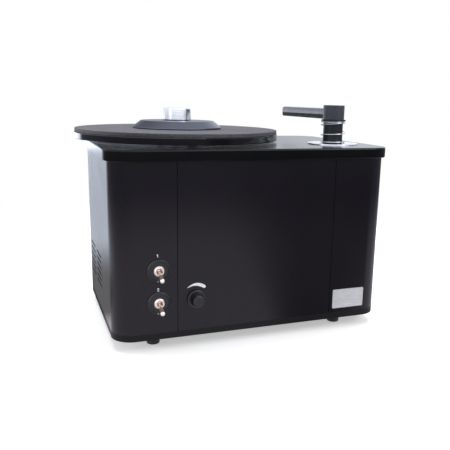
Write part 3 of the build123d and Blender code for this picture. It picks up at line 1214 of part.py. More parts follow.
def drain_valve():
    """Drain pipe from the tank through the rear wall, with its valve body and spout."""
    start = -(CABINET_DEPTH - TANK_REAR) - TANK_WALL - DRAIN_PIPE_END
    end = DRAIN_FLANGE + DRAIN_BODY_LENGTH
    valve = disc(DRAIN_PIPE_RADIUS, start, end) + disc(DRAIN_FLANGE_RADIUS, 0, DRAIN_FLANGE)
    valve += disc(DRAIN_BODY_RADIUS, DRAIN_FLANGE, end) + disc(SPOUT_RADIUS, end, end + SPOUT_LENGTH)
    valve -= disc(DRAIN_BORE, start, end + SPOUT_LENGTH)
    valve = on_rear(DRAIN_X, DRAIN_HEIGHT) * valve
    neck_low = DRAIN_HEIGHT + DRAIN_BORE + 1.0
    neck_top = DRAIN_HEIGHT + LEVER_HEIGHT - APART
    neck = LEVER_STEM_RADIUS + LEVER_NECK_WALL
    valve += disc(neck, neck_low + 1.0, neck_top, DRAIN_X, VALVE_Y)
    return valve - disc(LEVER_STEM_RADIUS + RUNNING, neck_low, neck_top, DRAIN_X, VALVE_Y)


def drain_lever():
    """Quarter-turn lever of the drain valve, across the spout when it is closed."""
    low = DRAIN_HEIGHT + LEVER_HEIGHT
    lever = disc(LEVER_HUB_RADIUS, low, low + LEVER_HUB_HEIGHT)
    grip = extrude(SlotOverall(LEVER_LENGTH + LEVER_WIDTH, LEVER_WIDTH), LEVER_THICKNESS)
    lever += Pos(LEVER_LENGTH / 2, 0, low) * grip
    lever += disc(LEVER_STEM_RADIUS, DRAIN_HEIGHT + DRAIN_BORE + 1.5, low)
    return Pos(DRAIN_X, VALVE_Y, 0) * lever


# ---------------------------------------------------------------- electrics
def board_corners():
    """Corners of the control board, where it is held."""
    columns = (BOARD_X + BOARD_HOLD, BOARD_X + BOARD_WIDTH - BOARD_HOLD)
    rows = (BOARD_Y + BOARD_HOLD, BOARD_Y + BOARD_DEPTH - BOARD_HOLD)
    return [(x, y) for x in columns for y in rows]


def control_board():
    """Circuit board with capacitors, a finned heat sink and terminals."""
    low = TRAY_TOP + BOARD_LIFT
    top = low + BOARD_THICKNESS
    board = block(BOARD_X, BOARD_X + BOARD_WIDTH, BOARD_Y, BOARD_Y + BOARD_DEPTH, low, top)
    x, y = BOARD_X + CAPACITOR_PLACE[0], BOARD_Y + CAPACITOR_PLACE[1]
    for k in range(CAPACITOR_COUNT):
        board += disc(CAPACITOR_RADIUS, top, top + CAPACITOR_HEIGHT, x + k * CAPACITOR_PITCH, y)
    x, y = BOARD_X + SINK_PLACE[0], BOARD_Y + SINK_PLACE[1]
    for k in range(FIN_COUNT):
        fin = y + k * FIN_PITCH
        board += block(x, x + SINK_WIDTH, fin, fin + FIN_THICKNESS, top, top + SINK_HEIGHT)
    sink_depth = (FIN_COUNT - 1) * FIN_PITCH + FIN_THICKNESS
    board += block(x, x + SINK_WIDTH, y, y + sink_depth, top, top + SINK_BASE)
    x, y = BOARD_X + TERMINAL_PLACE[0], BOARD_Y + TERMINAL_PLACE[1]
    return board + block(x, x + TERMINAL_WIDTH, y, y + TERMINAL_DEPTH, top, top + TERMINAL_HEIGHT)


def power_supply():
    """Transformer with its laminated core, winding and foot brackets."""
    x1, y1, z1 = SUPPLY_X + SUPPLY_WIDTH, SUPPLY_Y + SUPPLY_DEPTH, TRAY_TOP + SUPPLY_HEIGHT
    supply = block(SUPPLY_X, x1, SUPPLY_Y, y1, TRAY_TOP, z1)
    width, depth = SUPPLY_WIDTH - 2 * WINDING_INSET, SUPPLY_DEPTH + 2 * WINDING_PROUD
    winding = extrude(RectangleRounded(width, depth, 6.0), SUPPLY_HEIGHT - 2 * WINDING_MARGIN)
    middle = Pos((SUPPLY_X + x1) / 2, (SUPPLY_Y + y1) / 2, TRAY_TOP + WINDING_MARGIN)
    supply += middle * winding
    return supply + block(SUPPLY_X - BRACKET_REACH, x1 + BRACKET_REACH, SUPPLY_Y + BRACKET_INSET,
                          y1 - BRACKET_INSET, TRAY_TOP, TRAY_TOP + BRACKET_THICKNESS)


def mains_inlet():
    """Recessed mains inlet with three blades, snapped into the rear panel."""
    body = Pos(0, 0, -INLET_DEPTH / 2) * Box(INLET_WIDTH, INLET_TALL, INLET_DEPTH)
    margin = 2 * INLET_FLANGE_MARGIN
    body += extrude(RectangleRounded(INLET_WIDTH + margin, INLET_TALL + margin, 3.0), INLET_FLANGE)
    mouth = RectangleRounded(INLET_WIDTH - 2 * INLET_RIM, INLET_TALL - 2 * INLET_RIM, 2.0)
    floor = INLET_FLANGE - INLET_CAVITY_DEPTH
    body -= Pos(0, 0, floor) * extrude(mouth, INLET_CAVITY_DEPTH)
    for x, y in PIN_PLACES:
        body += Pos(x, y, floor + PIN_LENGTH / 2) * Box(PIN_WIDTH, PIN_TALL, PIN_LENGTH)
    return on_rear(INLET_X, INLET_HEIGHT) * body


# ---------------------------------------------------------------- the whole machine
def all_pieces():
    """Every node of the machine, by name, in the cabinet's frame."""
    makers = [
        base_tray, left_shell, right_shell, front_panel, rear_panel, rear_screws, seam_strips, top_plate,
        feet, foot_screws, badge_plate, platter, platter_mat, platter_hub, spindle, bearing_housing,
        spindle_bushes, bearing_screws, shaft_coupler, gearmotor, gearmotor_shaft, motor_plate,
        motor_standoffs, clamp_disc, clamp_seal, clamp_knob, arm_base_disc, arm_base_screws, arm_guide,
        arm_bushes, arm_pipe, arm_clip, spring_seat, arm_head, arm_tube, arm_end_cap, velvet_strips,
        arm_spring, switch_bezels, toggle_switches, switch_nuts, speed_knob, speed_shaft, speed_control,
        waste_tank, tank_lid, tank_hose, vacuum_hose, fan_housing, suction_motor, motor_mounts,
        suction_rotor, exhaust_duct, drain_valve, drain_lever, control_board, power_supply, mains_inlet]
    pieces = {maker.__name__: maker() for maker in makers}
    pieces["toggle_lever_lower"] = toggle_lever(SWITCH_HEIGHTS[0])
    pieces["toggle_lever_upper"] = toggle_lever(SWITCH_HEIGHTS[1])
    return pieces


def outer_box(pieces):
    """Lowest and highest corner of all pieces together."""
    boxes = [piece.bounding_box() for piece in pieces.values()]
    low = [min(getattr(box.min, axis) for box in boxes) for axis in "XYZ"]
    high = [max(getattr(box.max, axis) for box in boxes) for axis in "XYZ"]
    return low, high


def report_places(shift):
    """Print the places and ranges that describe the machine's joints, in its own frame."""
    valve_end = CABINET_DEPTH + DRAIN_FLANGE + DRAIN_BODY_LENGTH
    places = {
        "platter axis": (PLATTER_X, PLATTER_Y, MAT_TOP),
        "clamp underside": (PLATTER_X, PLATTER_Y, CLAMP_UNDER),
        "arm axis": (ARM_X, ARM_Y, TUBE_UNDER),
        "lower toggle pivot": (SWITCH_X, 0, SWITCH_HEIGHTS[0]),
        "upper toggle pivot": (SWITCH_X, 0, SWITCH_HEIGHTS[1]),
        "speed knob axis": (SPEED_X, 0, SPEED_HEIGHT),
        "suction rotor axis": (FAN_X, FAN_Y, MOTOR_BASE),
        "drain lever axis": (DRAIN_X, VALVE_Y, DRAIN_HEIGHT + LEVER_HEIGHT),
        "drain spout": (DRAIN_X, valve_end + SPOUT_LENGTH / 2, DRAIN_HEIGHT),
        "inlet on rear wall": (INLET_X, CABINET_DEPTH, INLET_HEIGHT),
        "front left foot": (FOOT_FROM_LEFT, FOOT_FROM_EDGE, 0),
    }
    for name, place in places.items():
        x, y, z = tuple(Vector(*place) + shift)
        print(f"{name}: {x:.3f} {y:.3f} {z:.3f}")
    print(f"arm length {ARM_LENGTH:.2f}, swing {ARM_SWING:.2f} degrees, drop {ARM_DROP:.2f}")
    print(f"clamp lift {CLAMP_LIFT:.1f}")
    print(f"spring self gap {spring_self_gap():.2f}")


def main():
    """Build every piece, centre the machine over the origin and write one STEP file per node."""
    pieces = all_pieces()
    low, high = outer_box(pieces)
    shift = Vector(-(low[0] + high[0]) / 2, -(low[1] + high[1]) / 2, -low[2])
    os.makedirs("parts", exist_ok=True)
    for name, piece in pieces.items():
        export_step(Pos(shift.X, shift.Y, shift.Z) * piece, f"parts/{name}.step")
    print("whole box", [round(high[k] - low[k], 3) for k in range(3)], "nodes", len(pieces))
    report_places(shift)


main()
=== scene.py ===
"""Looks of a record cleaning machine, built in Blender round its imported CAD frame.

Lengths are in millimetres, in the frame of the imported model, unless a comment says metres; they
are turned to metres only where a mesh or a node is made. Each sub-assembly is a class with its
sizes as fields, methods that build its meshes, and a table of finishes that dresses the CAD nodes
that show as they are.
"""

from __future__ import annotations

import logging
import math
from collections.abc import Callable, Iterable, Sequence
from dataclasses import dataclass
from enum import Enum
from typing import ClassVar

import bmesh
import bpy
from mathutils import Matrix, Vector, noise

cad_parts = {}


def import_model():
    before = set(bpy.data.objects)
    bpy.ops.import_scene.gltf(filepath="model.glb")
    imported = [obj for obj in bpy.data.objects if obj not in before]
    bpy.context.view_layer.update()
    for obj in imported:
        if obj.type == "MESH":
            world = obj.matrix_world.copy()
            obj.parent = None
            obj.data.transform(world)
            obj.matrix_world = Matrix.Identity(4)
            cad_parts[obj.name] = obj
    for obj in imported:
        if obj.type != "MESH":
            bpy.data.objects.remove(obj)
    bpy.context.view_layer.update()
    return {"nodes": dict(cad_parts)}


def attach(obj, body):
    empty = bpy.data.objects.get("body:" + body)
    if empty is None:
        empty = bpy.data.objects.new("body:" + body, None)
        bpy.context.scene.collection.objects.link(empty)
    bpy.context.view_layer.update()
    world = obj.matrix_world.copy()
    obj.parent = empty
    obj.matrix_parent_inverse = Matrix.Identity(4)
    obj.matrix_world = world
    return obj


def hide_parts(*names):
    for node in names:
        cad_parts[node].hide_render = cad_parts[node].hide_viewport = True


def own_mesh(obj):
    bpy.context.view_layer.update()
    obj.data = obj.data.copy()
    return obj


LOG = logging.getLogger("record_cleaning_machine")
Pair = tuple[float, float]
Point = tuple[float, float, float]
Node = bpy.types.Node
Socket = bpy.types.NodeSocket
Tree = bpy.types.NodeTree

MM = 0.001
UP = Vector((0.0, 0.0, 1.0))
LEVEL = (1.0, 1.0, 0.0)  # multiplied with a direction, leaves its level part
PLATTER_AXIS: Pair = (-61.45, 18.252)
ARM_AXIS: Pair = (153.85, -73.748)
WHITE, BLACK = "#FFFFFF", "#000000"
BRIGHT_ROOM = "#F2F6FF"  # walls of the studio, as mirrors see them
COLOURS = {"data_type": "RGBA"}
SMOOTH = {"interpolation_type": "SMOOTHSTEP"}


class Body(str, Enum):
    """Bodies of the CAD frame that new pieces ride on."""

    CABINET = "cabinet"
    PLATTER = "platter"
    CLAMP = "clamp"
    ARM = "arm"


class Pattern(Enum):
    """Ways in which a surface was made, each with its own small marks."""

    GRAIN = "grain"
    BRUSHED = "brushed"
    TURNED = "turned"
    CELLS = "cells"


class Digit(Enum):
    """Digits that are printed by the switches."""

    ZERO = 0
    ONE = 1
    TWO = 2


# ---------------- finishes


def linear(code: str) -> tuple[float, float, float, float]:
    """Turn a colour written as sRGB hex into linear light.

    Args:
        code: Six hex digits after a hash sign.

    Returns:
        Linear red, green, blue and an alpha of one.
    """
    parts = [int(code[i : i + 2], 16) / 255.0 for i in (1, 3, 5)]
    red, green, blue = (p / 12.92 if p <= 0.04045 else ((p + 0.055) / 1.055) ** 2.4 for p in parts)
    return red, green, blue, 1.0


def add_node(
    tree: Tree, kind: str, inputs: dict[str | int, object] | None = None, **settings: object
) -> Node:
    """Add a shader node, with its settings and its links.

    Args:
        tree: Node tree that gets the node.
        kind: What Blender calls the node, after the word ShaderNode.
        inputs: By name or number, what each input gets: a value, a colour as sRGB hex, a socket
            to link from, or a node whose first output in use is linked.
        **settings: Properties of the node itself.

    Returns:
        The new node.
    """
    node = tree.nodes.new(f"ShaderNode{kind}")
    for name, value in settings.items():
        setattr(node, name, value)
    used = [entry for entry in node.inputs if entry.enabled]
    for key, value in (inputs or {}).items():
        entry = used[key] if isinstance(key, int) else next(e for e in used if e.name == key)
        if isinstance(value, Node):
            value = next(output for output in value.outputs if output.enabled)
        if isinstance(value, Socket):
            tree.links.new(value, entry)
        else:
            entry.default_value = linear(value) if isinstance(value, str) else value
    return node


def over(
    measure: Node | Socket, span: Pair, low: float | Node = 0.0, high: float | Node = 1.0
) -> dict[str, object]:
    """Lay out the inputs that turn a measure into a level.

    Args:
        measure: What is read.
        span: Its values at the two levels.
        low: Level at the first of them.
        high: Level at the second.

    Returns:
        The inputs by name.
    """
    names = ("Value", "From Min", "From Max", "To Min", "To Max")
    return dict(zip(names, (measure, *span, low, high)))


def between(share: Node, low: str | Node, high: str | Node) -> dict[str, object]:
    """Lay out the inputs that blend two colours by the share of the second."""
    return {"Factor": share, "A": low, "B": high}


@dataclass(frozen=True)
class Finish:
    """One real material and how its surface was made."""

    name: str  # of the Blender material
    colour: str  # main colour, as sRGB hex
    fleck: str  # colour of the other half of the fine pattern, as sRGB hex
    roughness: Pair  # lowest and highest over the pattern
    grain_mm: float  # real size of the fine pattern's marks
    relief_mm: float = 0.01  # height of those marks
    metallic: float = 0.0  # one for bare metal
    specular: float = 0.5  # specular level, left at this on metal
    coat: float = 0.0  # weight of a clear coat
    coat_roughness: float = 0.1
    sheen: float = 0.0  # weight of the light that short fibres catch
    pattern: Pattern = Pattern.GRAIN
    stretch: Point = (1.0, 1.0, 1.0)  # how much longer the marks are along each axis
    centre: Pair = (0.0, 0.0)  # upright axis that a turned surface was turned round
    haze: float = 0.12  # share by which blotches of handling change the roughness
    wear: str | None = None  # colour that sharp edges are rubbed to, as sRGB hex
    wear_mm: float = 0.5  # width of that rubbed line

    grain_span: ClassVar[Pair] = (0.36, 0.64)  # values of the noise that its marks lie between
    cell_span: ClassVar[Pair] = (0.05, 0.75)  # distances from the middle of a cell to its wall
    blotches: ClassVar[float] = 18.0  # blotches of handling in a metre
    blotch_span: ClassVar[Pair] = (0.3, 0.7)  # values of the noise that they lie between
    worn_span: ClassVar[Pair] = (0.985, 0.86)  # agreement of rounded and true normal on an edge
    worn: ClassVar[float] = 0.75  # share of the rubbed colour on a sharp edge

    def material(self) -> bpy.types.Material:
        """Find this finish's material, and make it the first time.

        Returns:
            The material.
        """
        made = bpy.data.materials.get(self.name)
        if made is None:
            made = bpy.data.materials.new(self.name)
            made.use_nodes = True
            made.diffuse_color = linear(self.colour)
            self._wire(made.node_tree)
        return made

    def _marks(self, tree: Tree) -> Node:
        """Make the fine pattern, from zero to one.

        Args:
            tree: The material's node tree.

        Returns:
            The node that gives the pattern.
        """
        place = add_node(tree, "TexCoord").outputs["Object"]
        if self.pattern is Pattern.TURNED:
            middle = [value * MM for value in (*self.centre, 0.0)]
            moved = add_node(tree, "VectorMath", {0: place, 1: middle}, operation="SUBTRACT")
            x, y, z = add_node(tree, "SeparateXYZ", {0: moved}).outputs
            flat = add_node(tree, "CombineXYZ", {"X": x, "Y": y})
            reach = add_node(tree, "VectorMath", {0: flat}, operation="LENGTH")
            place = add_node(tree, "CombineXYZ", {"X": reach, "Z": z})
        scale = [1.0 / (self.grain_mm * MM * longer) for longer in self.stretch]
        spread = add_node(tree, "VectorMath", {0: place, 1: scale}, operation="MULTIPLY")
        if self.pattern is Pattern.CELLS:
            texture = add_node(tree, "TexVoronoi", {"Vector": spread, "Scale": 1.0})
            span = self.cell_span
        else:
            texture = add_node(tree, "TexNoise", {"Vector": spread, "Scale": 1.0, "Roughness": 0.6})
            span = self.grain_span
        return add_node(tree, "MapRange", over(texture, span), **SMOOTH)

    def _wire(self, tree: Tree) -> None:
        """Wire the shader, its pattern, its haze and its worn edges.

        Args:
            tree: The material's node tree.
        """
        tree.nodes.clear()
        marks = self._marks(tree)
        place = add_node(tree, "TexCoord").outputs["Object"]
        noisy = {"Vector": place, "Scale": self.blotches, "Detail": 3.0}
        blotch = add_node(tree, "TexNoise", noisy)
        colour = add_node(tree, "Mix", between(marks, self.colour, self.fleck), **COLOURS)
        rough = add_node(tree, "MapRange", over(marks, (0.0, 1.0), *self.roughness))
        haze = over(blotch, self.blotch_span, 1.0 - self.haze, 1.0 + self.haze)
        hazed = add_node(tree, "MapRange", haze)
        rough = add_node(tree, "Math", {0: rough, 1: hazed}, operation="MULTIPLY", use_clamp=True)
        if self.wear is not None:
            soft = add_node(tree, "Bevel", {"Radius": self.wear_mm * MM}, samples=4)
            true = add_node(tree, "NewGeometry").outputs["Normal"]
            agree = add_node(tree, "VectorMath", {0: soft, 1: true}, operation="DOT_PRODUCT")
            rubbed = add_node(tree, "MapRange", over(agree, self.worn_span, 0.0, self.worn))
            colour = add_node(tree, "Mix", between(rubbed, colour, self.wear), **COLOURS)
        relief = {"Height": marks, "Strength": 1.0, "Distance": self.relief_mm * MM}
        skin = {
            "Base Color": colour,
            "Roughness": rough,
            "Normal": add_node(tree, "Bump", relief),
            "Metallic": self.metallic,
            "Specular IOR Level": self.specular,
            "Coat Weight": self.coat,
            "Coat Roughness": self.coat_roughness,
            "Sheen Weight": self.sheen,
        }
        shader = add_node(tree, "BsdfPrincipled", skin)
        add_node(tree, "OutputMaterial", {"Surface": shader})


# Powder-coated sheet steel, sprayed and baked: the fine orange peel spreads every reflection, so
# the walls stay near black and even, with a soft lift towards their round corners.
POWDER_COAT = Finish(
    "Powder_coated_steel_fine_texture_black", "#0C0A10", "#151219", (0.38, 0.46), grain_mm=1.3,
    relief_mm=0.014, specular=0.06, coat=0.6, coat_roughness=0.14, wear="#18171C", wear_mm=0.4,
)
# The same coat on the folded tray, a touch flatter where it was masked and handled.
TRAY_COAT = Finish(
    "Powder_coated_steel_tray_black", "#0C0C0E", "#131315", (0.46, 0.56), grain_mm=1.3,
    relief_mm=0.03, specular=0.2,
)
# Lacquered aluminium plate, sprayed and flatted: a black mirror that goes grey-blue at a low angle.
PLATE_LACQUER = Finish(
    "Lacquered_aluminium_plate_satin_gloss_black", "#060608", "#09090B", (0.17, 0.2), grain_mm=0.9,
    relief_mm=0.002, specular=0.18, haze=0.06,
)
# Polished black acrylic, turned and flame polished: long clear reflections on the platter's rim.
PLATTER_ACRYLIC = Finish(
    "Cast_acrylic_polished_black", "#141417", "#18181C", (0.05, 0.08), grain_mm=4.0,
    relief_mm=0.003, specular=0.55,
)
# Sponge rubber sheet, die cut: small open cells break the light up into a charcoal grain.
MAT_RUBBER = Finish(
    "Sponge_rubber_sheet_charcoal", "#333136", "#626067", (0.8, 0.95), grain_mm=1.5,
    relief_mm=0.35, specular=0.25, sheen=0.12, pattern=Pattern.CELLS,
)
# Anodised aluminium, turned then bead blasted: a grey-blue satin that brightens at its shoulders.
CLAMP_ANODISED = Finish(
    "Anodised_aluminium_satin_grey_blue", "#6A6C77", "#787A84", (0.36, 0.44), grain_mm=0.5,
    relief_mm=0.006, metallic=1.0, pattern=Pattern.TURNED, centre=PLATTER_AXIS,
)
# Aluminium bar, machined and polished: nearly white, with faint turned lines.
KNOB_ALUMINIUM = Finish(
    "Polished_aluminium_turned", "#F6F7F9", "#EAECF0", (0.12, 0.2), grain_mm=0.35, relief_mm=0.004,
    metallic=1.0, pattern=Pattern.TURNED, centre=PLATTER_AXIS,
)
# Soft seal rubber, moulded: matt and dark.
SEAL_RUBBER = Finish(
    "Moulded_rubber_matt_black", "#161617", "#222224", (0.7, 0.85), grain_mm=0.8, relief_mm=0.03,
    specular=0.3,
)
# Turned acetal, satin: dark grey with a soft upright gradient and very fine rings.
ARM_ACETAL = Finish(
    "Turned_acetal_satin_dark_grey", "#0F1014", "#17191E", (0.34, 0.42), grain_mm=0.6,
    relief_mm=0.008, specular=0.28, pattern=Pattern.TURNED, centre=ARM_AXIS, wear="#30323A",
    wear_mm=0.4,
)
# The arm's head, the same acetal bead blasted after turning: a shade lighter and more even.
HEAD_ACETAL = Finish(
    "Turned_acetal_blasted_grey", "#2D3039", "#363943", (0.36, 0.44), grain_mm=0.6,
    relief_mm=0.008, specular=0.45, pattern=Pattern.TURNED, centre=ARM_AXIS, wear="#454852",
    wear_mm=0.4,
)
# Extruded plastic tube, fine lines along it and a silky top.
TUBE_PLASTIC = Finish(
    "Extruded_ABS_satin_dark_grey", "#5F626C", "#696C76", (0.2, 0.28), grain_mm=0.7,
    relief_mm=0.006, specular=0.95, stretch=(1.0, 14.0, 1.0),
)
# Woven velvet with a cut pile: it swallows light, with a thin glow of fibre tips at its edges.
VELVET = Finish(
    "Cut_pile_velvet_black", "#070708", "#151517", (0.9, 1.0), grain_mm=0.5, relief_mm=0.3,
    specular=0.1, sheen=0.35,
)
# Cold-rolled steel, ground and polished: bright, with fine rings round its hole.
BRIGHT_STEEL = Finish(
    "Polished_steel_bright", "#E6E8EC", "#D6D9DD", (0.14, 0.24), grain_mm=0.5, relief_mm=0.004,
    metallic=1.0, pattern=Pattern.TURNED, centre=ARM_AXIS,
)
# Drawn music wire: a thin bright line with faint die marks.
SPRING_WIRE = Finish(
    "Drawn_music_wire", "#D4D5D8", "#B9BBC0", (0.18, 0.3), grain_mm=0.4, relief_mm=0.004,
    metallic=1.0,
)
# Nickel on brass, barrel plated: a warm grey mirror over slightly soft edges.
NICKEL = Finish(
    "Nickel_plated_brass_warm", "#FBF1E8", "#EFE3D9", (0.3, 0.42), grain_mm=0.8, relief_mm=0.006,
    metallic=1.0, wear="#EFE6DC", wear_mm=0.25,
)
# Moulded phenolic and ABS of bezels and knobs: near black with a soft moulded gloss.
CONTROL_PLASTIC = Finish(
    "Moulded_ABS_satin_black", "#131317", "#1B1B20", (0.26, 0.36), grain_mm=0.7, wear="#26262A",
    wear_mm=0.3,
)
# Aluminium plate, brushed along its length: a bright silver with long fine lines.
BADGE_ALUMINIUM = Finish(
    "Brushed_aluminium_badge", "#E2E2E5", "#CACBCF", (0.3, 0.42), grain_mm=0.45, relief_mm=0.006,
    metallic=0.15, pattern=Pattern.BRUSHED, stretch=(30.0, 1.0, 1.0),
)
# Zinc-plated steel, passivated: grey with a faint cloudy crystal grain.
ZINC_STEEL = Finish(
    "Zinc_plated_steel_passivated", "#9EA2A6", "#84888D", (0.3, 0.48), grain_mm=2.5,
    relief_mm=0.006, metallic=1.0,
)
# Sintered bronze: warm, open-grained metal that holds oil.
SINTERED_BRONZE = Finish(
    "Sintered_bronze_oiled", "#A5794A", "#7E5B37", (0.35, 0.5), grain_mm=0.6, relief_mm=0.03,
    metallic=1.0,
)
# Die-cast housings, vibration finished: dull silver grey with a fine sandy skin.
CAST_METAL = Finish(
    "Die_cast_aluminium_sandy", "#8A8D91", "#74777C", (0.42, 0.58), grain_mm=1.0, relief_mm=0.04,
    metallic=1.0,
)
# Blow-moulded polyethylene: waxy, milky and uneven, the wall of a liquid tank.
TANK_PLASTIC = Finish(
    "Blow_moulded_polyethylene_milky", "#D6D5CC", "#C9C8BE", (0.4, 0.52), grain_mm=6.0,
    relief_mm=0.08, specular=0.45,
)
# Ribbed hose rubber, extruded: dull black with a bloom of grey.
HOSE_RUBBER = Finish(
    "Extruded_hose_rubber_black", "#19191A", "#242425", (0.55, 0.7), grain_mm=1.2, relief_mm=0.04,
    specular=0.4,
)
# Moulded polypropylene of the air duct: dark, slightly greasy shine.
DUCT_PLASTIC = Finish(
    "Moulded_polypropylene_dark", "#222326", "#2B2C30", (0.38, 0.5), grain_mm=1.6, relief_mm=0.03,
    specular=0.45,
)
# Glass-epoxy laminate under solder mask: deep green with the weave just showing.
LAMINATE_GREEN = Finish(
    "Glass_epoxy_laminate_green", "#1D5A38", "#2A6D47", (0.28, 0.4), grain_mm=1.2, relief_mm=0.02,
)
# Free-machining brass, turned: yellow metal, a little dulled by handling.
TURNED_BRASS = Finish(
    "Turned_brass_dulled", "#C9A24F", "#AA8539", (0.22, 0.36), grain_mm=0.6, relief_mm=0.008,
    metallic=1.0,
)
# Moulded foot rubber: black, matt, with a faint skin.
FOOT_RUBBER = Finish(
    "Moulded_foot_rubber_black", "#121213", "#1B1B1C", (0.5, 0.68), grain_mm=1.0, relief_mm=0.03,
    specular=0.4,
)
# Screen-printed ink: a thin opaque white with a faint mesh edge.
PRINTED_INK = Finish(
    "Screen_printed_ink_white", "#FDFDFC", "#F2F2EF", (0.45, 0.6), grain_mm=0.5, specular=0.3,
)


# ---------------- meshes


def rounded(corners: Sequence[Point], steps: int = 4, closed: bool = True) -> list[Pair]:
    """Round the corners of an outline.

    Args:
        corners: Each corner's two coordinates and the radius that it is rounded to.
        steps: Short runs round each corner.
        closed: Whether the last corner joins the first.

    Returns:
        The outline's points, in order.
    """
    flat = [Vector(corner[:2]) for corner in corners]
    points: list[Pair] = []
    for number, here in enumerate(flat):
        radius = corners[number][2]
        if radius <= 0.0 or (not closed and number in (0, len(flat) - 1)):
            points.append((here.x, here.y))
            continue
        back = (flat[number - 1] - here).normalized()
        ahead = (flat[(number + 1) % len(flat)] - here).normalized()
        half = back.angle(ahead) / 2.0
        middle = here + (back + ahead).normalized() * (radius / math.sin(half))
        reach = radius / math.tan(half)
        first, last = here + back * reach - middle, here + ahead * reach - middle
        for step in range(steps + 1):
            place = middle + first.slerp(last, step / steps) * radius
            points.append((place.x, place.y))
    return points


def circle(count: int) -> list[Pair]:
    """Return the cosine and sine of equal steps round a full turn."""
    turns = [math.tau * step / count for step in range(count)]
    return [(math.cos(turn), math.sin(turn)) for turn in turns]


def softly(value: float, low: float, high: float) -> float:
    """Turn a value smoothly to a share from zero at low to one at high."""
    share = min(max((value - low) / (high - low), 0.0), 1.0)
    return share * share * (3.0 - 2.0 * share)


class Blank:
    """A mesh in the making, in millimetres."""

    def __init__(self) -> None:
        """Start with an empty mesh."""
        self.mesh = bmesh.new()

    def skin(self, rings: Iterable[Sequence[Vector]], wrap: bool = False) -> None:
        """Join rings of points, one after the other, into a closed skin.

        Args:
            rings: Rings of equally many points; a ring of one point is a pole.
            wrap: Whether the last ring joins the first; if not, the open ends are capped.
        """
        made = [[self.mesh.verts.new(point) for point in ring] for ring in rings]
        ends = (made[0], made[-1])
        pairs = list(zip(made, made[1:])) + ([ends[::-1]] if wrap else [])
        for low, high in pairs:
            count = max(len(low), len(high))
            for step in range(count):
                after = (step + 1) % count
                if len(low) == 1:
                    corners = (low[0], high[after], high[step])
                elif len(high) == 1:
                    corners = (low[step], low[after], high[0])
                else:
                    corners = (low[step], low[after], high[after], high[step])
                self.mesh.faces.new(corners)
        for ring in ends:
            if not wrap and len(ring) > 1:
                self.mesh.faces.new(ring)

    def lathe(
        self,
        profile: Iterable[Pair],
        middle: Pair,
        turns: int = 96,
        shift: Callable[[Vector], Vector] = Vector,
    ) -> None:
        """Turn a closed profile round an upright axis that it doesn't touch.

        Args:
            profile: Radius and height of each point.
            middle: The axis.
            turns: Steps round the axis.
            shift: Moves each point in the end, for a rough edge.
        """
        x, y = middle
        rings = []
        for reach, level in profile:
            ring = [Vector((x + reach * c, y + reach * s, level)) for c, s in circle(turns)]
            rings.append([shift(point) for point in ring])
        self.skin(rings, wrap=True)

    def tube(
        self,
        path: Sequence[Vector],
        sides: Sequence[Vector],
        sizes: Sequence[Pair],
        points: int = 12,
        wrap: bool = False,
    ) -> None:
        """Sweep an oval along a path.

        Args:
            path: Points of the path, in order.
            sides: A direction across the path at each point.
            sizes: Half the oval's width along that direction, and half its height.
            points: Points round the oval.
            wrap: Whether the path closes.
        """
        rings = []
        last = len(path) - 1
        for number, here in enumerate(path):
            before = path[number - 1 if number or wrap else 0]
            after = path[(number + 1) % len(path) if number < last or wrap else last]
            along = (after - before).normalized()
            across = (sides[number] - sides[number].project(along)).normalized()
            up = along.cross(across)
            wide, high = sizes[number]
            rings.append([here + across * (wide * c) + up * (high * s) for c, s in circle(points)])
        self.skin(rings, wrap)

    def piece(
        self, name: str, body: Body, slot: str, finish: Finish, *nodes: str, sharp: float = 38.0
    ) -> bpy.types.Object:
        """Turn the mesh into a piece with its finish, its body and the nodes it stands for.

        Args:
            name: Name of the piece.
            body: CAD body that it rides on.
            slot: Material slot of the record that its finish stands for; not used.
            finish: Its finish.
            *nodes: CAD nodes that it stands for.
            sharp: Angle in degrees above which an edge stays sharp.

        Returns:
            The new piece.
        """
        bmesh.ops.recalc_face_normals(self.mesh, faces=self.mesh.faces)
        self.mesh.transform(Matrix.Scale(MM, 4))
        mesh = bpy.data.meshes.new(name)
        self.mesh.to_mesh(mesh)
        self.mesh.free()
        mesh.shade_smooth()
        mesh.set_sharp_from_angle(angle=math.radians(sharp))
        mesh.materials.append(finish.material())
        piece = bpy.data.objects.new(name, mesh)
        bpy.context.scene.collection.objects.link(piece)
        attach(piece, body.value)
        if nodes:
            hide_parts(*nodes)
        LOG.info("piece %s on %s, %d faces", name, body.value, len(mesh.polygons))
        return piece


# ---------------- sub-assemblies


class Assembly:
    """A sub-assembly: new pieces, and CAD nodes that show as they are."""

    finishes: ClassVar[dict[Finish, tuple[str, ...]]] = {}

    def pieces(self) -> None:
        """Build the new pieces; a sub-assembly with none leaves this as it is."""

    def build(self, nodes: dict[str, bpy.types.Object]) -> None:
        """Build the new pieces and dress the CAD nodes.

        Args:
            nodes: The frame's node objects, by name.
        """
        self.pieces()
        for finish, names in self.finishes.items():
            for name in names:
                for held in nodes[name].material_slots:
                    held.material = finish.material()
                LOG.info("node %s in %s", name, finish.name)


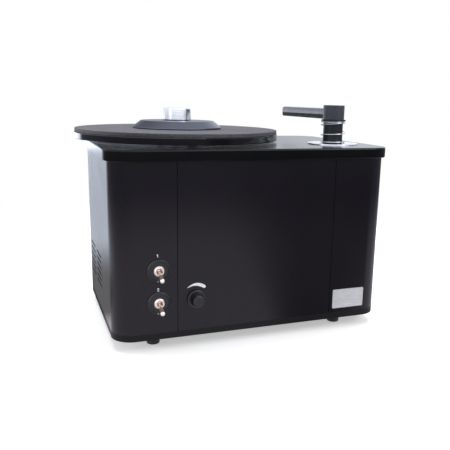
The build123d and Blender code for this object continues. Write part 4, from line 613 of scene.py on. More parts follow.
@dataclass(frozen=True)
class Cabinet(Assembly):
    """The folded tray, the wrapped walls, the top plate, the badge and the rubber feet."""

    foot_xs: Pair = (-130.65, 147.25)
    foot_ys: Pair = (-115.748, 88.252)
    foot_radius: float = 9.0
    foot_height: float = 16.0
    foot_round: float = 1.5  # rounding of the lower edge
    recess: Pair = (5.0, 9.0)  # radius and depth of the recess round the screw
    bore: float = 2.02  # radius of the screw's hole
    moulding_line: float = 0.25  # how far the line left by the mould stands in

    finishes = {
        POWDER_COAT: ("left_shell", "right_shell", "front_panel", "rear_panel"),
        TRAY_COAT: ("base_tray", "seam_strips"),
        PLATE_LACQUER: ("top_plate",),
        BADGE_ALUMINIUM: ("badge_plate",),
        ZINC_STEEL: ("rear_screws", "foot_screws"),
    }

    def pieces(self) -> None:
        """Mould the feet, each with its recess and a fine line from the mould."""
        reach, line, high = self.foot_radius, self.moulding_line, self.foot_height
        half = high / 2.0
        hole, deep = self.recess
        corners = [(self.bore, deep, 0.0), (hole, deep, 0.5), (hole, 0.0, 0.4)]
        corners += [(reach, 0.0, self.foot_round), (reach, half - line, 0.1)]
        corners += [(reach - line, half, 0.0), (reach, half + line, 0.1)]
        corners += [(reach, high, 0.3), (self.bore, high, 0.0)]
        profile = rounded(corners)
        blank = Blank()
        for y in self.foot_ys:
            for x in self.foot_xs:
                blank.lathe(profile, (x, y), 72)
        blank.piece("rubber_feet", Body.CABINET, "foot_rubber", FOOT_RUBBER, "feet")


@dataclass(frozen=True)
class Turntable(Assembly):
    """The platter, its sponge mat, its bearing and the gear motor under it."""

    mat_radius: float = 150.0
    mat_bore: float = 4.0  # radius of its hole
    mat_levels: Pair = (277.9, 282.9)  # underside and top
    mat_round: float = 0.8  # how far its cut edges give way
    rim_insets: tuple[float, ...] = (1.6, 2.4, 3.2)  # the mesh's rings inside its edge
    face_shares: Pair = (0.7, 0.35)  # the rings farther in, as shares of its radius
    turns: int = 640  # steps of the mesh round the rim
    under_rings: Pair = (0.5, 3.0)  # the underside's: a share of its radius, an inset
    rag: float = 0.45  # how far the open cells of the cut rim fall back
    rag_share: Pair = (0.5, 0.33)  # share of that which all of it does, and which a cell adds
    rag_band: float = 2.5  # width of the rim that they show on
    rag_size: float = 1.9  # real size of the cells
    rag_finer: float = 2.1  # how much finer their second layer is

    finishes = {
        PLATTER_ACRYLIC: ("platter",),
        BRIGHT_STEEL: ("platter_hub", "spindle", "shaft_coupler", "gearmotor_shaft"),
        CAST_METAL: ("bearing_housing", "gearmotor"),
        SINTERED_BRONZE: ("spindle_bushes",),
        ZINC_STEEL: ("bearing_screws", "motor_plate", "motor_standoffs"),
    }

    def _ragged(self, point: Vector) -> Vector:
        """Let the cut rim fall back into its cells.

        Args:
            point: A point of the mat.

        Returns:
            The point, moved towards the axis near the rim.
        """
        middle = Vector((*PLATTER_AXIS, point.z))
        out = point - middle
        edge = softly(out.length, self.mat_radius - self.rag_band, self.mat_radius)
        fine = noise.noise(point * (self.rag_finer / self.rag_size))
        cells = noise.noise(point / self.rag_size) + 0.5 * fine
        mean, swing = self.rag_share
        return middle + out * (1.0 - edge * self.rag * (mean + swing * cells) / out.length)

    def pieces(self) -> None:
        """Cut the mat from sponge sheet."""
        low, high = self.mat_levels
        reach, bore, edge = self.mat_radius, self.mat_bore, self.rim_insets[0]
        share, inset = self.under_rings
        corners = [(bore, low, 0.2), (reach * share, low, 0.0), (reach - inset, low, 0.0)]
        corners += [(reach, low, self.mat_round)]
        corners += [(reach, level, 0.0) for level in (low + edge, (low + high) / 2.0, high - edge)]
        corners += [(reach, high, self.mat_round)]
        corners += [(reach - inset, high, 0.0) for inset in self.rim_insets]
        corners += [(reach * share, high, 0.0) for share in self.face_shares]
        corners += [(bore, high, 0.5)]
        blank = Blank()
        blank.lathe(rounded(corners), PLATTER_AXIS, self.turns, self._ragged)
        blank.piece("sponge_mat", Body.PLATTER, "mat_rubber", MAT_RUBBER, "platter_mat")


@dataclass(frozen=True)
class RecordClamp(Assembly):
    """The anodised clamp, its seal and its turned knob."""

    seal_reach: Pair = (58.0, 65.4)  # radii inside and outside the seal
    seal_levels: Pair = (283.2, 284.2)  # underside and top
    seal_round: float = 0.35  # how far its edges are rounded
    grooves: Pair = (0.33, 0.67)  # places of its two grooves, as shares of its width
    groove: Pair = (0.5, 0.3)  # half the width of a groove, and its depth

    finishes = {CLAMP_ANODISED: ("clamp_disc",), KNOB_ALUMINIUM: ("clamp_knob",)}

    def pieces(self) -> None:
        """Mould the seal, with two fine grooves in its face."""
        (inner, outer), (low, high), edge = self.seal_reach, self.seal_levels, self.seal_round
        half, deep = self.groove
        corners = [(inner, high, edge), (inner, low, edge)]
        for share in self.grooves:
            at = inner + (outer - inner) * share
            corners += [(at - half, low, 0.1), (at, low + deep, 0.0), (at + half, low, 0.1)]
        corners += [(outer, low, edge), (outer, high, edge)]
        blank = Blank()
        blank.lathe(rounded(corners, 3), PLATTER_AXIS, 160)
        blank.piece("seal_ring", Body.CLAMP, "seal_rubber", SEAL_RUBBER, "clamp_seal")


@dataclass(frozen=True)
class SuctionArm(Assembly):
    """The arm's pipe, head and tube, its lifting spring and its velvet strips."""

    heading: float = 91.0  # direction of the tube from the arm's axis, in degrees
    coil: float = 17.6  # radius of the spring at the middle of its wire
    wire: float = 0.6  # radius of the wire
    trim: float = 0.72  # share of the wire that is left where its ends are trimmed
    coil_levels: Pair = (266.6, 298.4)  # faces that the spring stands between
    turns: float = 4.0  # turns of the spring, its closed ends among them
    first_turn: float = 300.8  # direction of the wire's lower end, in degrees
    closed: float = 1.0  # turns that lie closed at each end
    closed_pitch: float = 1.7
    ramp: float = 0.25  # share of a turn over which the pitch changes
    lean: float = 1.9  # how far the open turns lean
    lean_way: float = 152.6  # direction that they lean in, in degrees
    wire_steps: int = 72  # steps of the mesh in one turn
    travel: float = 16.0  # how far the arm goes down
    strip_run: Pair = (17.5, 165.03)  # where the velvet starts and ends along the tube
    strip_sides: Pair = (1.3, 7.1)  # its inner and outer edges across the tube
    strip_levels: Pair = (301.2, 307.4)  # its underside and its top
    tip_round: float = 2.4  # rounding of its far lower end
    crown: float = 1.6  # rounding of the pile's lower edges
    crown_most: float = 0.45  # the most of its height that this may take
    nap: float = 0.35  # how far single tufts fall back
    nap_from: Pair = (0.3, 1.5)  # depths below its top over which they come free
    tuft: float = 0.9  # real size of a tuft
    step: float = 0.8  # distance between the velvet's sections

    finishes = {
        BRIGHT_STEEL: ("arm_base_disc",),
        SINTERED_BRONZE: ("arm_bushes",),
        ARM_ACETAL: ("arm_guide", "arm_pipe", "spring_seat"),
        HEAD_ACETAL: ("arm_head",),
        TUBE_PLASTIC: ("arm_tube", "arm_end_cap"),
        SPRING_WIRE: ("arm_clip",),
        ZINC_STEEL: ("arm_base_screws",),
    }

    def pieces(self) -> None:
        """Wind the spring and cut the velvet."""
        self._spring()
        self._velvet()

    def _ramped(self, turns: float) -> float:
        """Count turns from where the pitch starts to change, less what the ramp takes.

        Args:
            turns: Turns from there, below zero before it.

        Returns:
            The turns that count as open.
        """
        if turns <= 0.0:
            return 0.0
        if turns < self.ramp:
            return turns * turns / (2.0 * self.ramp)
        return turns - self.ramp / 2.0

    def _spring_point(self, turn: float) -> Vector:
        """Find a point on the middle of the wire.

        Args:
            turn: Turns from the wire's lower end.

        Returns:
            The point.
        """
        low, high = self.coil_levels[0] + self.wire, self.coil_levels[1] - self.wire
        last = self.turns - self.closed - self.ramp
        free = self._ramped(self.turns - self.closed) - self._ramped(self.turns - last)
        extra = (high - low - self.closed_pitch * self.turns) / free
        opened = self._ramped(turn - self.closed) - self._ramped(turn - last)
        angle = math.radians(self.first_turn + 360.0 * turn)
        starts = softly(turn - self.closed, 0.0, 2.0 * self.ramp)
        ends = softly(self.turns - self.closed - turn, 0.0, 2.0 * self.ramp)
        level = low + self.closed_pitch * turn + extra * opened
        level += self.lean * (starts * ends) * math.cos(angle - math.radians(self.lean_way))
        out = Vector((math.cos(angle), math.sin(angle), 0.0)) * self.coil
        return Vector((*ARM_AXIS, level)) + out

    def _spring(self) -> None:
        """Wind the lifting spring."""
        count = int(self.turns * self.wire_steps)
        path = [self._spring_point(self.turns * step / count) for step in range(count + 1)]
        middle = Vector((*ARM_AXIS, 0.0))
        sides = [(point - middle) * Vector(LEVEL) for point in path]
        tip = (self.wire * self.trim, self.wire * self.trim)
        blank = Blank()
        blank.tube(path, sides, [tip, *[(self.wire, self.wire)] * (count - 1), tip], 14)
        spring = blank.piece(
            "lifting_spring", Body.CABINET, "spring_steel", SPRING_WIRE, "arm_spring"
        )
        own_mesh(spring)

    def _strip_section(self, side: float, along: float) -> list[Vector]:
        """Draw the velvet's outline at one place along the tube.

        Args:
            side: One or minus one, the side of the slot.
            along: Distance from the arm's axis.

        Returns:
            The outline's points.
        """
        inner, outer = self.strip_sides
        low, high = self.strip_levels
        over_tip = max(0.0, along - (self.strip_run[1] - self.tip_round))
        low += self.tip_round - math.sqrt(max(self.tip_round**2 - over_tip**2, 0.0))
        soft = min(self.crown, (high - low) * self.crown_most)
        corners = [(inner, high, 0.0), (inner, low, soft)]
        corners += [(inner * 0.6 + outer * 0.4, low, 0.0), (inner * 0.4 + outer * 0.6, low, 0.0)]
        corners += [(outer, low, soft), (outer, (low + high) / 2.0, 0.0), (outer, high, 0.0)]
        turn = math.radians(self.heading)
        ahead = Vector((math.cos(turn), math.sin(turn), 0.0))
        left = Vector((-math.sin(turn), math.cos(turn), 0.0))
        start = Vector((*ARM_AXIS, 0.0)) + ahead * along
        centre = start + left * (side * (inner + outer) / 2.0) + UP * high
        ring = []
        for across, level in rounded(corners):
            place = start + left * (side * across) + UP * level
            hang = softly(high - level, *self.nap_from)
            depth = self.nap * hang * (0.5 + 0.5 * noise.noise(place / self.tuft))
            ring.append(place + (centre - place).normalized() * depth)
        return ring

    def _velvet(self) -> None:
        """Cut the two velvet strips, with their pile."""
        start, end = self.strip_run
        count = round((end - start) / self.step)
        alongs = [start + (end - start) * step / count for step in range(count + 1)]
        blank = Blank()
        for side in (-1.0, 1.0):
            rings = [self._strip_section(side, along) for along in alongs]
            first, last = ([sum(ring, Vector()) / len(ring)] for ring in (rings[0], rings[-1]))
            blank.skin([first, *rings, last])
        blank.piece("velvet_lips", Body.ARM, "velvet", VELVET, "velvet_strips")


@dataclass(frozen=True)
class Controls(Assembly):
    """The switches, the speed knob and the marks printed round them."""

    wall: float = -145.748  # level of the front wall along Y
    rim: float = -148.548  # level of a bezel's rim along Y
    ink: float = 0.06  # thickness of the ink
    # Each digit on the wall, its middle along X and Z and its height; then those on the bezels.
    wall_digits: tuple[tuple[Digit, float, float, float], ...] = (
        (Digit.ONE, -129.5, 130.1, 4.4),
        (Digit.TWO, -129.3, 84.6, 4.4),
    )
    rim_digits: tuple[tuple[Digit, float, float, float], ...] = (
        (Digit.ZERO, -129.9, 96.65, 1.9),
        (Digit.ZERO, -129.9, 53.15, 1.9),
    )
    stroke: float = 0.085  # half the width of a stroke, as a share of a digit's height
    end_shares: tuple[float, ...] = (0.35, 0.65, 0.87, 0.98)  # steps of a stroke's round end
    knob_axis: Pair = (-78.15, 67.5)  # the speed knob's axis along X and Z
    wedge_arc: Point = (19.9, 129.0, 56.0)  # the wedge's radius, first and last direction
    wedge_rise: float = -0.5  # how much farther out its middle line runs at its end
    wedge_width: Pair = (0.12, 2.2)  # half its width at its thin end and at its thick end
    wedge_steps: int = 48
    wedge_pace: float = 1.25  # above one, the width is full before the end

    finishes = {
        CONTROL_PLASTIC: ("switch_bezels", "speed_knob"),
        NICKEL: ("toggle_switches", "switch_nuts", "toggle_lever_lower", "toggle_lever_upper"),
        BRIGHT_STEEL: ("speed_shaft",),
        CAST_METAL: ("speed_control",),
    }

    def pieces(self) -> None:
        """Print the marks."""
        marks = Blank()
        for face, digits in ((self.wall, self.wall_digits), (self.rim, self.rim_digits)):
            for digit, across, level, height in digits:
                self._digit(marks, digit, Vector((across, face, level)), height)
        marks.piece("switch_marks", Body.CABINET, "white_print", PRINTED_INK)
        wedge = Blank()
        self._wedge(wedge)
        wedge.piece("speed_mark", Body.CABINET, "white_print", PRINTED_INK)

    @staticmethod
    def _lines(digit: Digit) -> tuple[list[Pair], bool]:
        """Draw a digit's middle line in a box one high.

        Args:
            digit: A digit that a mark needs.

        Returns:
            The line's points, and whether it closes.
        """
        wide, high = 0.27, 0.42
        if digit is Digit.ZERO:
            return [(wide * c, high * s) for c, s in circle(40)], True
        if digit is Digit.ONE:
            hook = [(-0.2, 0.22, 0.0), (0.06, high, 0.05), (0.06, -high, 0.0)]
            return rounded(hook, 6, False), False
        turns = [math.radians(165.0 - 8.0 * step) for step in range(26)]
        bowl = [(0.23 * math.cos(turn), 0.19 + 0.23 * math.sin(turn)) for turn in turns]
        foot = rounded([(*bowl[-1], 0.0), (-0.25, -high, 0.05), (wide, -high, 0.0)], 6, False)
        return bowl + foot[1:], False

    def _ribbon(
        self, blank: Blank, path: Sequence[Vector], widths: Sequence[float], wrap: bool
    ) -> None:
        """Lay a low bead of ink with round ends.

        Args:
            blank: Mesh that gets the bead.
            path: Its middle line, on the surface that it is printed on.
            widths: Half its width at each point.
            wrap: Whether the line closes.
        """
        bead = list(zip(path, widths))
        for _ in range(0 if wrap else 2):
            bead.reverse()
            tip, reach = bead[-1]
            out = (tip - bead[-2][0]).normalized()
            for share in self.end_shares:
                bead.append((tip + out * (reach * share), reach * math.sqrt(1.0 - share * share)))
        line = [place for place, _ in bead]
        ahead = [*line[1:], line[0] if wrap else line[-1] * 2.0 - line[-2]]
        front = Vector((0.0, -1.0, 0.0))
        sides = [(after - here).cross(front).normalized() for here, after in zip(line, ahead)]
        blank.tube(line, sides, [(width, self.ink) for _, width in bead], wrap=wrap)

    def _digit(self, blank: Blank, digit: Digit, middle: Vector, height: float) -> None:
        """Print one digit.

        Args:
            blank: Mesh that gets the digit.
            digit: Which digit.
            middle: Its middle, on the surface that it is printed on.
            height: Its height.
        """
        flat, wrap = self._lines(digit)
        path = [middle + Vector((across * height, 0.0, up * height)) for across, up in flat]
        self._ribbon(blank, path, [self.stroke * height] * len(path), wrap)

    def _wedge(self, blank: Blank) -> None:
        """Print the wedge that grows towards the faster speeds.

        Args:
            blank: Mesh that gets the wedge.
        """
        reach, first, last = self.wedge_arc
        (x, z), (thin, thick) = self.knob_axis, self.wedge_width
        path, widths = [], []
        for step in range(self.wedge_steps + 1):
            share = step / self.wedge_steps
            angle = math.radians(first + (last - first) * share)
            out = reach + self.wedge_rise * softly(share, 0.5, 1.0)
            path.append(Vector((x + out * math.cos(angle), self.wall, z + out * math.sin(angle))))
            grown = math.sin(min(share * self.wedge_pace, 1.0) * math.pi / 2.0)
            widths.append(thin + (thick - thin) * grown)
        self._ribbon(blank, path, widths, False)


@dataclass(frozen=True)
class SuctionUnit(Assembly):
    """The tank, the hoses, the fan with its motor, and the drain."""

    motor_axis: Pair = (36.35, 19.252)  # the suction motor's axis
    mount_circle: float = 38.0  # radius of the circle that the mounts stand on
    mount_turns: Point = (90.0, 210.0, 330.0)  # direction of each mount, in degrees
    mount_reach: Pair = (2.5, 8.0)  # radii inside and outside a mount
    mount_levels: Pair = (19.0, 25.0)  # its underside and its top
    mount_lip: float = 1.6  # height of its full upper and lower rims
    mount_waist: float = 1.4  # how far it stands in between them
    hose_reach: Pair = (12.02, 14.52)  # radii inside and outside the hoses
    hose_points: int = 56  # points of the mesh round a hose
    rib_pitch: float = 4.2  # distance between the ribs of a hose
    rib_depth: float = 1.1  # how deep the hose falls back between ribs
    cuff: float = 11.0  # length of the plain ends
    rib_start: float = 2.0  # length over which the ribs then grow
    lid: float = 146.0  # level of the tank's lid, where both hoses start
    guide: float = 174.3  # level of the arm guide's lower end, where the straight hose ends
    fan_top: float = 128.0  # level of the fan housing's lid, where the bent hose ends
    crest: float = 221.78  # level of the bent hose's highest run
    bend: float = 54.75  # radius of its bends
    step: float = 0.7  # distance between a hose's sections

    finishes = {
        TANK_PLASTIC: ("waste_tank", "tank_lid"),
        CAST_METAL: ("fan_housing", "suction_motor"),
        BRIGHT_STEEL: ("suction_rotor",),
        DUCT_PLASTIC: ("exhaust_duct",),
        TURNED_BRASS: ("drain_valve",),
        ZINC_STEEL: ("drain_lever",),
    }

    def pieces(self) -> None:
        """Mould the mounts and run the hoses."""
        self._mounts()
        straight = [Vector((*ARM_AXIS, level)) for level in (self.lid, self.guide)]
        self._hose("suction_hose_upper", straight, "tank_hose")
        (start, _), (end, outlet) = ARM_AXIS, self.motor_axis
        corners = [(start, self.lid, 0.0), (start, self.crest, self.bend)]
        corners += [(end, self.crest, self.bend), (end, self.fan_top, 0.0)]
        bent = [Vector((x, outlet, level)) for x, level in rounded(corners, 24, closed=False)]
        self._hose("suction_hose_fan", bent, "vacuum_hose")

    def _mounts(self) -> None:
        """Mould the waisted rubber mounts of the suction motor."""
        bore, reach = self.mount_reach
        low, high = self.mount_levels
        lip = self.mount_lip
        corners = [(bore, low, 0.3), (reach, low, 0.5), (reach, low + lip, 0.3)]
        corners += [(reach - self.mount_waist, (low + high) / 2.0, 1.2)]
        corners += [(reach, high - lip, 0.3), (reach, high, 0.5), (bore, high, 0.3)]
        profile = rounded(corners)
        blank = Blank()
        for turn in self.mount_turns:
            angle = math.radians(turn)
            x = self.motor_axis[0] + self.mount_circle * math.cos(angle)
            y = self.motor_axis[1] + self.mount_circle * math.sin(angle)
            blank.lathe(profile, (x, y), 56)
        blank.piece("rubber_mounts", Body.CABINET, "foot_rubber", FOOT_RUBBER, "motor_mounts")

    def _hose(self, name: str, corners: Sequence[Vector], node: str) -> None:
        """Run a ribbed hose with plain ends.

        Args:
            name: Name of the piece.
            corners: Points of its middle line.
            node: CAD node that it stands for.
        """
        path, reached = self._spaced(corners)
        inner, outer = self.hose_reach
        across, turn = Vector((0.0, 1.0, 0.0)), circle(self.hose_points)
        skins: list[list[list[Vector]]] = [[], []]
        for number, here in enumerate(path):
            before, after = path[max(number - 1, 0)], path[min(number + 1, len(path) - 1)]
            up = (after - before).normalized().cross(across)
            run = min(reached[number], reached[-1] - reached[number])
            wave = 0.5 + 0.5 * math.cos(math.tau * reached[number] / self.rib_pitch)
            fall = self.rib_depth * wave * softly(run, self.cuff, self.cuff + self.rib_start)
            for skin, reach in zip(skins, (outer - fall, inner)):
                skin.append([here + (across * c + up * s) * reach for c, s in turn])
        blank = Blank()
        blank.skin([*skins[0], *skins[1][::-1]], wrap=True)
        blank.piece(name, Body.CABINET, "hose_rubber", HOSE_RUBBER, node, sharp=60.0)

    def _spaced(self, corners: Sequence[Vector]) -> tuple[list[Vector], list[float]]:
        """Space points evenly along a line.

        Args:
            corners: Points of the line.

        Returns:
            The new points, and how far along the line each is.
        """
        lengths = [(after - here).length for here, after in zip(corners, corners[1:])]
        whole = sum(lengths)
        count = round(whole / self.step)
        path, reached = [], []
        leg, passed = 0, 0.0
        for number in range(count + 1):
            run = whole * number / count
            while leg < len(lengths) - 1 and run > passed + lengths[leg]:
                passed += lengths[leg]
                leg += 1
            path.append(corners[leg].lerp(corners[leg + 1], (run - passed) / lengths[leg]))
            reached.append(run)
        return path, reached


@dataclass(frozen=True)
class Electrics(Assembly):
    """The power supply, the control board and the mains inlet."""

    finishes = {
        CAST_METAL: ("power_supply",),
        LAMINATE_GREEN: ("control_board",),
        CONTROL_PLASTIC: ("mains_inlet",),
    }


# ---------------- studio


def by_ray(tree: Tree, lit: Node, mirrored: Node, seen: Node) -> Node:
    """Choose among three shaders by the ray that meets them.

    Args:
        tree: Node tree of the world or the floor.
        lit: Shader for the rays that carry light.
        mirrored: Shader for what is seen in a mirror or through glass.
        seen: Shader for what the camera sees straight.

    Returns:
        The node that gives the chosen shader.
    """
    path = add_node(tree, "LightPath")
    clear = {0: path.outputs["Is Glossy Ray"], 1: path.outputs["Is Transmission Ray"]}
    share = add_node(tree, "Math", clear, operation="MAXIMUM")
    unseen = add_node(tree, "MixShader", {0: share, 1: lit, 2: mirrored})
    return add_node(tree, "MixShader", {0: path.outputs["Is Camera Ray"], 1: unseen, 2: seen})


@dataclass(frozen=True)
class PhotoCamera:
    """The camera at the photograph's viewing angle."""

    eye: Point = (-285.277, -868.944, 327.453)
    heading: float = 0.36721  # turn of the view from +Y towards +X, in radians
    drop: float = 0.22334  # how far the view points below level, in radians
    roll: float = -0.02179  # turn of the picture about the view, in radians
    focal_px: float = 592.3114  # focal length in pixels
    picture: int = 450  # width of the picture in pixels
    shift: Pair = (-0.05, 0.02)  # shift of the picture, as shares of its width
    sensor: float = 36.0
    clip: Pair = (0.02, 60.0)  # nearest and farthest that is seen, in metres

    def build(self) -> None:
        """Make the camera and set it in its place."""
        level = math.cos(self.drop)
        turned = (math.sin(self.heading) * level, math.cos(self.heading) * level)
        ahead = Vector((*turned, -math.sin(self.drop)))
        right = ahead.cross(UP).normalized()
        down = ahead.cross(right)
        lean, upright = math.sin(self.roll), math.cos(self.roll)
        lens = bpy.data.cameras.new("Camera")
        lens.sensor_width = self.sensor
        lens.lens = self.focal_px / self.picture * self.sensor
        lens.shift_x, lens.shift_y = self.shift
        lens.clip_start, lens.clip_end = self.clip
        camera = bpy.data.objects.new("Camera", lens)
        axes = Matrix((upright * right + lean * down, lean * right - upright * down, -ahead))
        camera.matrix_world = Matrix.Translation(Vector(self.eye) * MM) @ axes.transposed().to_4x4()
        bpy.context.scene.collection.objects.link(camera)
        bpy.context.scene.camera = camera


@dataclass(frozen=True)
class PaperFloor:
    """The pale paper that the machine stands on; its distances are in metres.

    Mirrors see it grey in front of the machine and rising in a bright sweep behind it. An edge is
    a span of agreement with a direction, which is one straight along it.
    """

    half: float = 12.0  # half the floor's width
    paper: str = "#E6E6E6"
    roughness: float = 0.9
    specular: float = 0.1
    seen_paper: str = "#F6F6F6"  # as the camera sees it, less the light added next
    lift: float = 0.43  # light added near the machine, so that the paper is white
    white_from: Pair = (0.55, 1.1)  # distances over which the floor turns plain white

    near_front: str = "#F2ECF8"  # near floor in front
    dim: str = "#72707C"  # open floor in front
    front_from: Pair = (0.5, 1.6)  # distances over which the one turns to the other
    # painted shade: the machine's shadow on the floor behind it, darkened into what mirrors see
    near_back: str = "#7E7C7E"  # near floor behind
    sweep_tint: str = "#E8F0FF"  # open sweep behind
    back_from: Pair = (0.3, 0.6)  # distances over which the one turns to the other
    sweep_way: Point = (-0.17, 0.985, 0.0)  # direction of the sweep
    near_edge: Pair = (0.0, 0.3)  # its edge near the machine
    sweep_edge: Pair = (0.82, 0.93)  # its edge farther out
    crisp_from: Pair = (0.55, 1.0)  # distances over which the one turns to the other
    sweep_level: float = 1.3  # how bright it is
    glare: float = 4.2  # how bright it is in the glare of the lamps
    glare_from: Pair = (2.8, 3.6)  # distances over which the glare starts
    glare_to: Pair = (5.0, 7.5)  # distances over which it fades again
    dark_way: Point = (0.52, -0.854, 0.0)  # direction of a darker stretch
    dark_edge: Pair = (0.95, 0.999)
    dark_level: float = 0.2  # how bright that stretch is
    room_from: Pair = (7.0, 11.0)  # distances over which the floor turns to the bright room

    def build(self) -> None:
        """Lay the floor, which keeps the object's shadow."""
        low, high = -self.half, self.half
        mesh = bpy.data.meshes.new("Floor")
        corners = [(low, low, 0.0), (high, low, 0.0), (high, high, 0.0), (low, high, 0.0)]
        mesh.from_pydata(corners, [], [(0, 1, 2, 3)])
        floor = bpy.data.objects.new("Floor", mesh)
        bpy.context.scene.collection.objects.link(floor)
        paper = bpy.data.materials.new("Matt_paper_sweep")
        paper.use_nodes = True
        self._wire(paper.node_tree)
        mesh.materials.append(paper)

    def _wire(self, tree: Tree) -> None:
        """Wire the paper: matt in the light, white to the camera.

        Args:
            tree: The paper's node tree.
        """
        tree.nodes.clear()
        place = add_node(tree, "NewGeometry").outputs["Position"]
        reach = add_node(tree, "VectorMath", {0: place}, operation="LENGTH")
        skin = {"Roughness": self.roughness, "Specular IOR Level": self.specular}
        lit = add_node(tree, "BsdfPrincipled", {"Base Color": self.paper, **skin})
        shaded = add_node(tree, "BsdfDiffuse", {"Color": self.seen_paper})
        lift = add_node(tree, "Emission", {"Color": WHITE, "Strength": self.lift})
        near = add_node(tree, "AddShader", {0: shaded, 1: lift})
        white = add_node(tree, "Emission", {"Color": WHITE, "Strength": 1.0})
        far = add_node(tree, "MapRange", over(reach, self.white_from), **SMOOTH)
        seen = add_node(tree, "MixShader", {0: far, 1: near, 2: white})
        shader = by_ray(tree, lit, self._mirrored(tree, place, reach), seen)
        add_node(tree, "OutputMaterial", {"Surface": shader})

    @staticmethod
    def _agreement(tree: Tree, place: Socket, way: Point) -> Node:
        """Say how well the level part of a direction agrees with another.

        Args:
            tree: The paper's node tree.
            place: The first direction, as a place seen from the machine.
            way: The second, level and of length one.

        Returns:
            The node that gives the agreement, from minus one to one.
        """
        flat = add_node(tree, "VectorMath", {0: place, 1: LEVEL}, operation="MULTIPLY")
        level = add_node(tree, "VectorMath", {0: flat}, operation="NORMALIZE")
        return add_node(tree, "VectorMath", {0: level, 1: way}, operation="DOT_PRODUCT")

    def _mirrored(self, tree: Tree, place: Socket, reach: Node) -> Node:
        """Shade the floor as mirrors see it.

        Args:
            tree: The paper's node tree.
            place: Place on the floor.
            reach: Its distance from the machine.

        Returns:
            The node that gives the shader.
        """
        turned = self._agreement(tree, place, self.sweep_way)
        near = add_node(tree, "MapRange", over(turned, self.near_edge), **SMOOTH)
        crisp = add_node(tree, "MapRange", over(turned, self.sweep_edge), **SMOOTH)
        sweep = add_node(tree, "MapRange", over(reach, self.crisp_from, near, crisp), **SMOOTH)
        turned = self._agreement(tree, place, self.dark_way)
        dark = over(turned, self.dark_edge, 1.0, self.dark_level)
        dark_share = add_node(tree, "MapRange", dark, **SMOOTH)
        front_share, back_share, room_share = (
            add_node(tree, "MapRange", over(reach, span), **SMOOTH)
            for span in (self.front_from, self.back_from, self.room_from)
        )
        front = add_node(tree, "Mix", between(front_share, self.near_front, self.dim), **COLOURS)
        front = add_node(tree, "Mix", between(dark_share, BLACK, front), **COLOURS)
        back = between(back_share, self.near_back, self.sweep_tint)
        back_sheet = add_node(tree, "Mix", back, **COLOURS)
        sheet = add_node(tree, "Mix", between(sweep, front, back_sheet), **COLOURS)
        sheet = add_node(tree, "Mix", between(room_share, sheet, BRIGHT_ROOM), **COLOURS)
        level: float | Node = 1.0
        for span, start in ((self.glare_to, self.glare), (self.glare_from, self.sweep_level)):
            level = add_node(tree, "MapRange", over(reach, span, start, level), **SMOOTH)
        level = add_node(tree, "MapRange", over(sweep, (0.0, 1.0), 1.0, level), **SMOOTH)
        return add_node(tree, "Emission", {"Color": sheet, "Strength": level})


@dataclass(frozen=True)
class Patch:
    """A part of the room that is brighter or dimmer than the rest, as mirrors see it."""

    way: Point  # direction of its middle
    edge: Pair  # agreement with that direction at which the patch starts and is whole
    share: float  # its brightness as a share of the room's


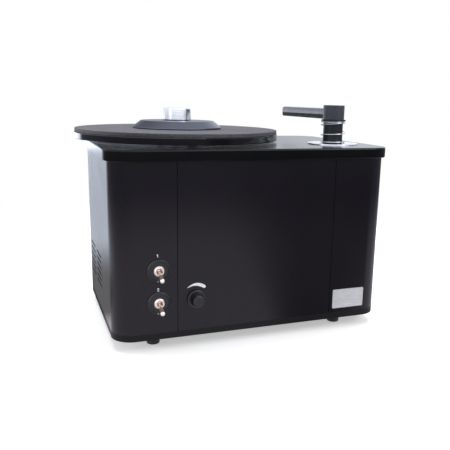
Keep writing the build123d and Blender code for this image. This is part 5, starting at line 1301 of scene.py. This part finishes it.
@dataclass(frozen=True)
class Room:
    """The room: white where it is seen, with its light, and dimmer where mirrors look at it."""

    air: str = "#F2F4F8"  # the light that fills it
    air_strength: float = 0.62
    horizon: float = 0.76  # how bright mirrors see it at the horizon
    ceiling: float = 0.86  # how bright they see it above
    band_edge: Pair = (0.03, 0.24)  # heights of a direction over which the one turns to the other
    patches: tuple[Patch, ...] = (
        Patch((0.95, 0.31, 0.0), (0.45, 0.85), 1.1),
        Patch((-0.95, 0.31, 0.0), (0.6, 0.95), 1.8),
        Patch((-0.29, -0.957, 0.0), (0.2, 0.6), 2.3),
        Patch((-0.25, 0.75, 0.61), (0.84, 0.97), 0.42),
        Patch((0.55, -0.6, 0.58), (0.88, 0.95), 2.5),
        Patch((0.5, 0.79, 0.35), (0.95, 0.99), 2.0),
    )

    def build(self) -> None:
        """Light the room."""
        world = bpy.data.worlds.new("Room")
        bpy.context.scene.world = world
        world.use_nodes = True
        tree = world.node_tree
        tree.nodes.clear()
        way = add_node(tree, "TexCoord").outputs["Generated"]
        up = add_node(tree, "SeparateXYZ", {0: way}).outputs["Z"]
        band = over(up, self.band_edge, self.horizon, self.ceiling)
        level = add_node(tree, "MapRange", band, **SMOOTH)
        for patch in self.patches:
            aim = add_node(tree, "VectorMath", {0: way, 1: patch.way}, operation="DOT_PRODUCT")
            share = add_node(tree, "MapRange", over(aim, patch.edge, 1.0, patch.share), **SMOOTH)
            level = add_node(tree, "Math", {0: level, 1: share}, operation="MULTIPLY")
        lit = add_node(tree, "Background", {"Color": self.air, "Strength": self.air_strength})
        mirrored = add_node(tree, "Background", {"Color": BRIGHT_ROOM, "Strength": level})
        seen = add_node(tree, "Background", {"Color": WHITE, "Strength": 1.0})
        add_node(tree, "OutputWorld", {"Surface": by_ray(tree, lit, mirrored, seen)})


@dataclass(frozen=True)
class SoftBox:
    """A rectangular lamp of white light, with its lengths in metres."""

    name: str
    place: Point
    target: Point  # the point that it faces
    size: Pair  # width and height
    watts: float
    mirrored: bool = True  # whether glossy surfaces show it

    def build(self) -> None:
        """Make the lamp and turn it to its target."""
        lamp = bpy.data.lights.new(self.name, "AREA")
        lamp.shape = "RECTANGLE"
        lamp.size, lamp.size_y = self.size
        lamp.energy = self.watts
        held = bpy.data.objects.new(self.name, lamp)
        held.location = self.place
        aim = Vector(self.target) - Vector(self.place)
        held.rotation_mode = "QUATERNION"
        held.rotation_quaternion = aim.to_track_quat("-Z", "Y")
        held.visible_camera = False
        held.visible_glossy = self.mirrored
        bpy.context.scene.collection.objects.link(held)


@dataclass(frozen=True)
class Studio:
    """The whole studio: camera, floor, room and soft boxes."""

    lamps: tuple[SoftBox, ...] = (
        SoftBox("Soft_box_overhead", (0.1, 0.3, 1.7), (0.0, 0.0, 0.2), (1.6, 1.2), 26.0, False),
        SoftBox("Soft_box_left_rear", (-1.9, 1.1, 0.55), (-0.2, 0.0, 0.2), (1.4, 1.0), 20.0, False),
        SoftBox("Soft_box_right_front", (1.0, -1.1, 1.1), (0.05, -0.1, 0.15), (0.4, 0.6), 6.0),
    )

    def build(self) -> None:
        """Make the whole studio."""
        bpy.context.scene.view_settings.view_transform = "Standard"
        for part in (PhotoCamera(), PaperFloor(), Room(), *self.lamps):
            part.build()


# ---------------- whole machine


def main() -> None:
    """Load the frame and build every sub-assembly in order."""
    logging.basicConfig(level=logging.INFO, format="%(levelname)s %(message)s")
    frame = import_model()
    Studio().build()
    for kind in (Cabinet, Turntable, RecordClamp, SuctionArm, Controls, SuctionUnit, Electrics):
        kind().build(frame["nodes"])


if __name__ == "__main__":
    main()
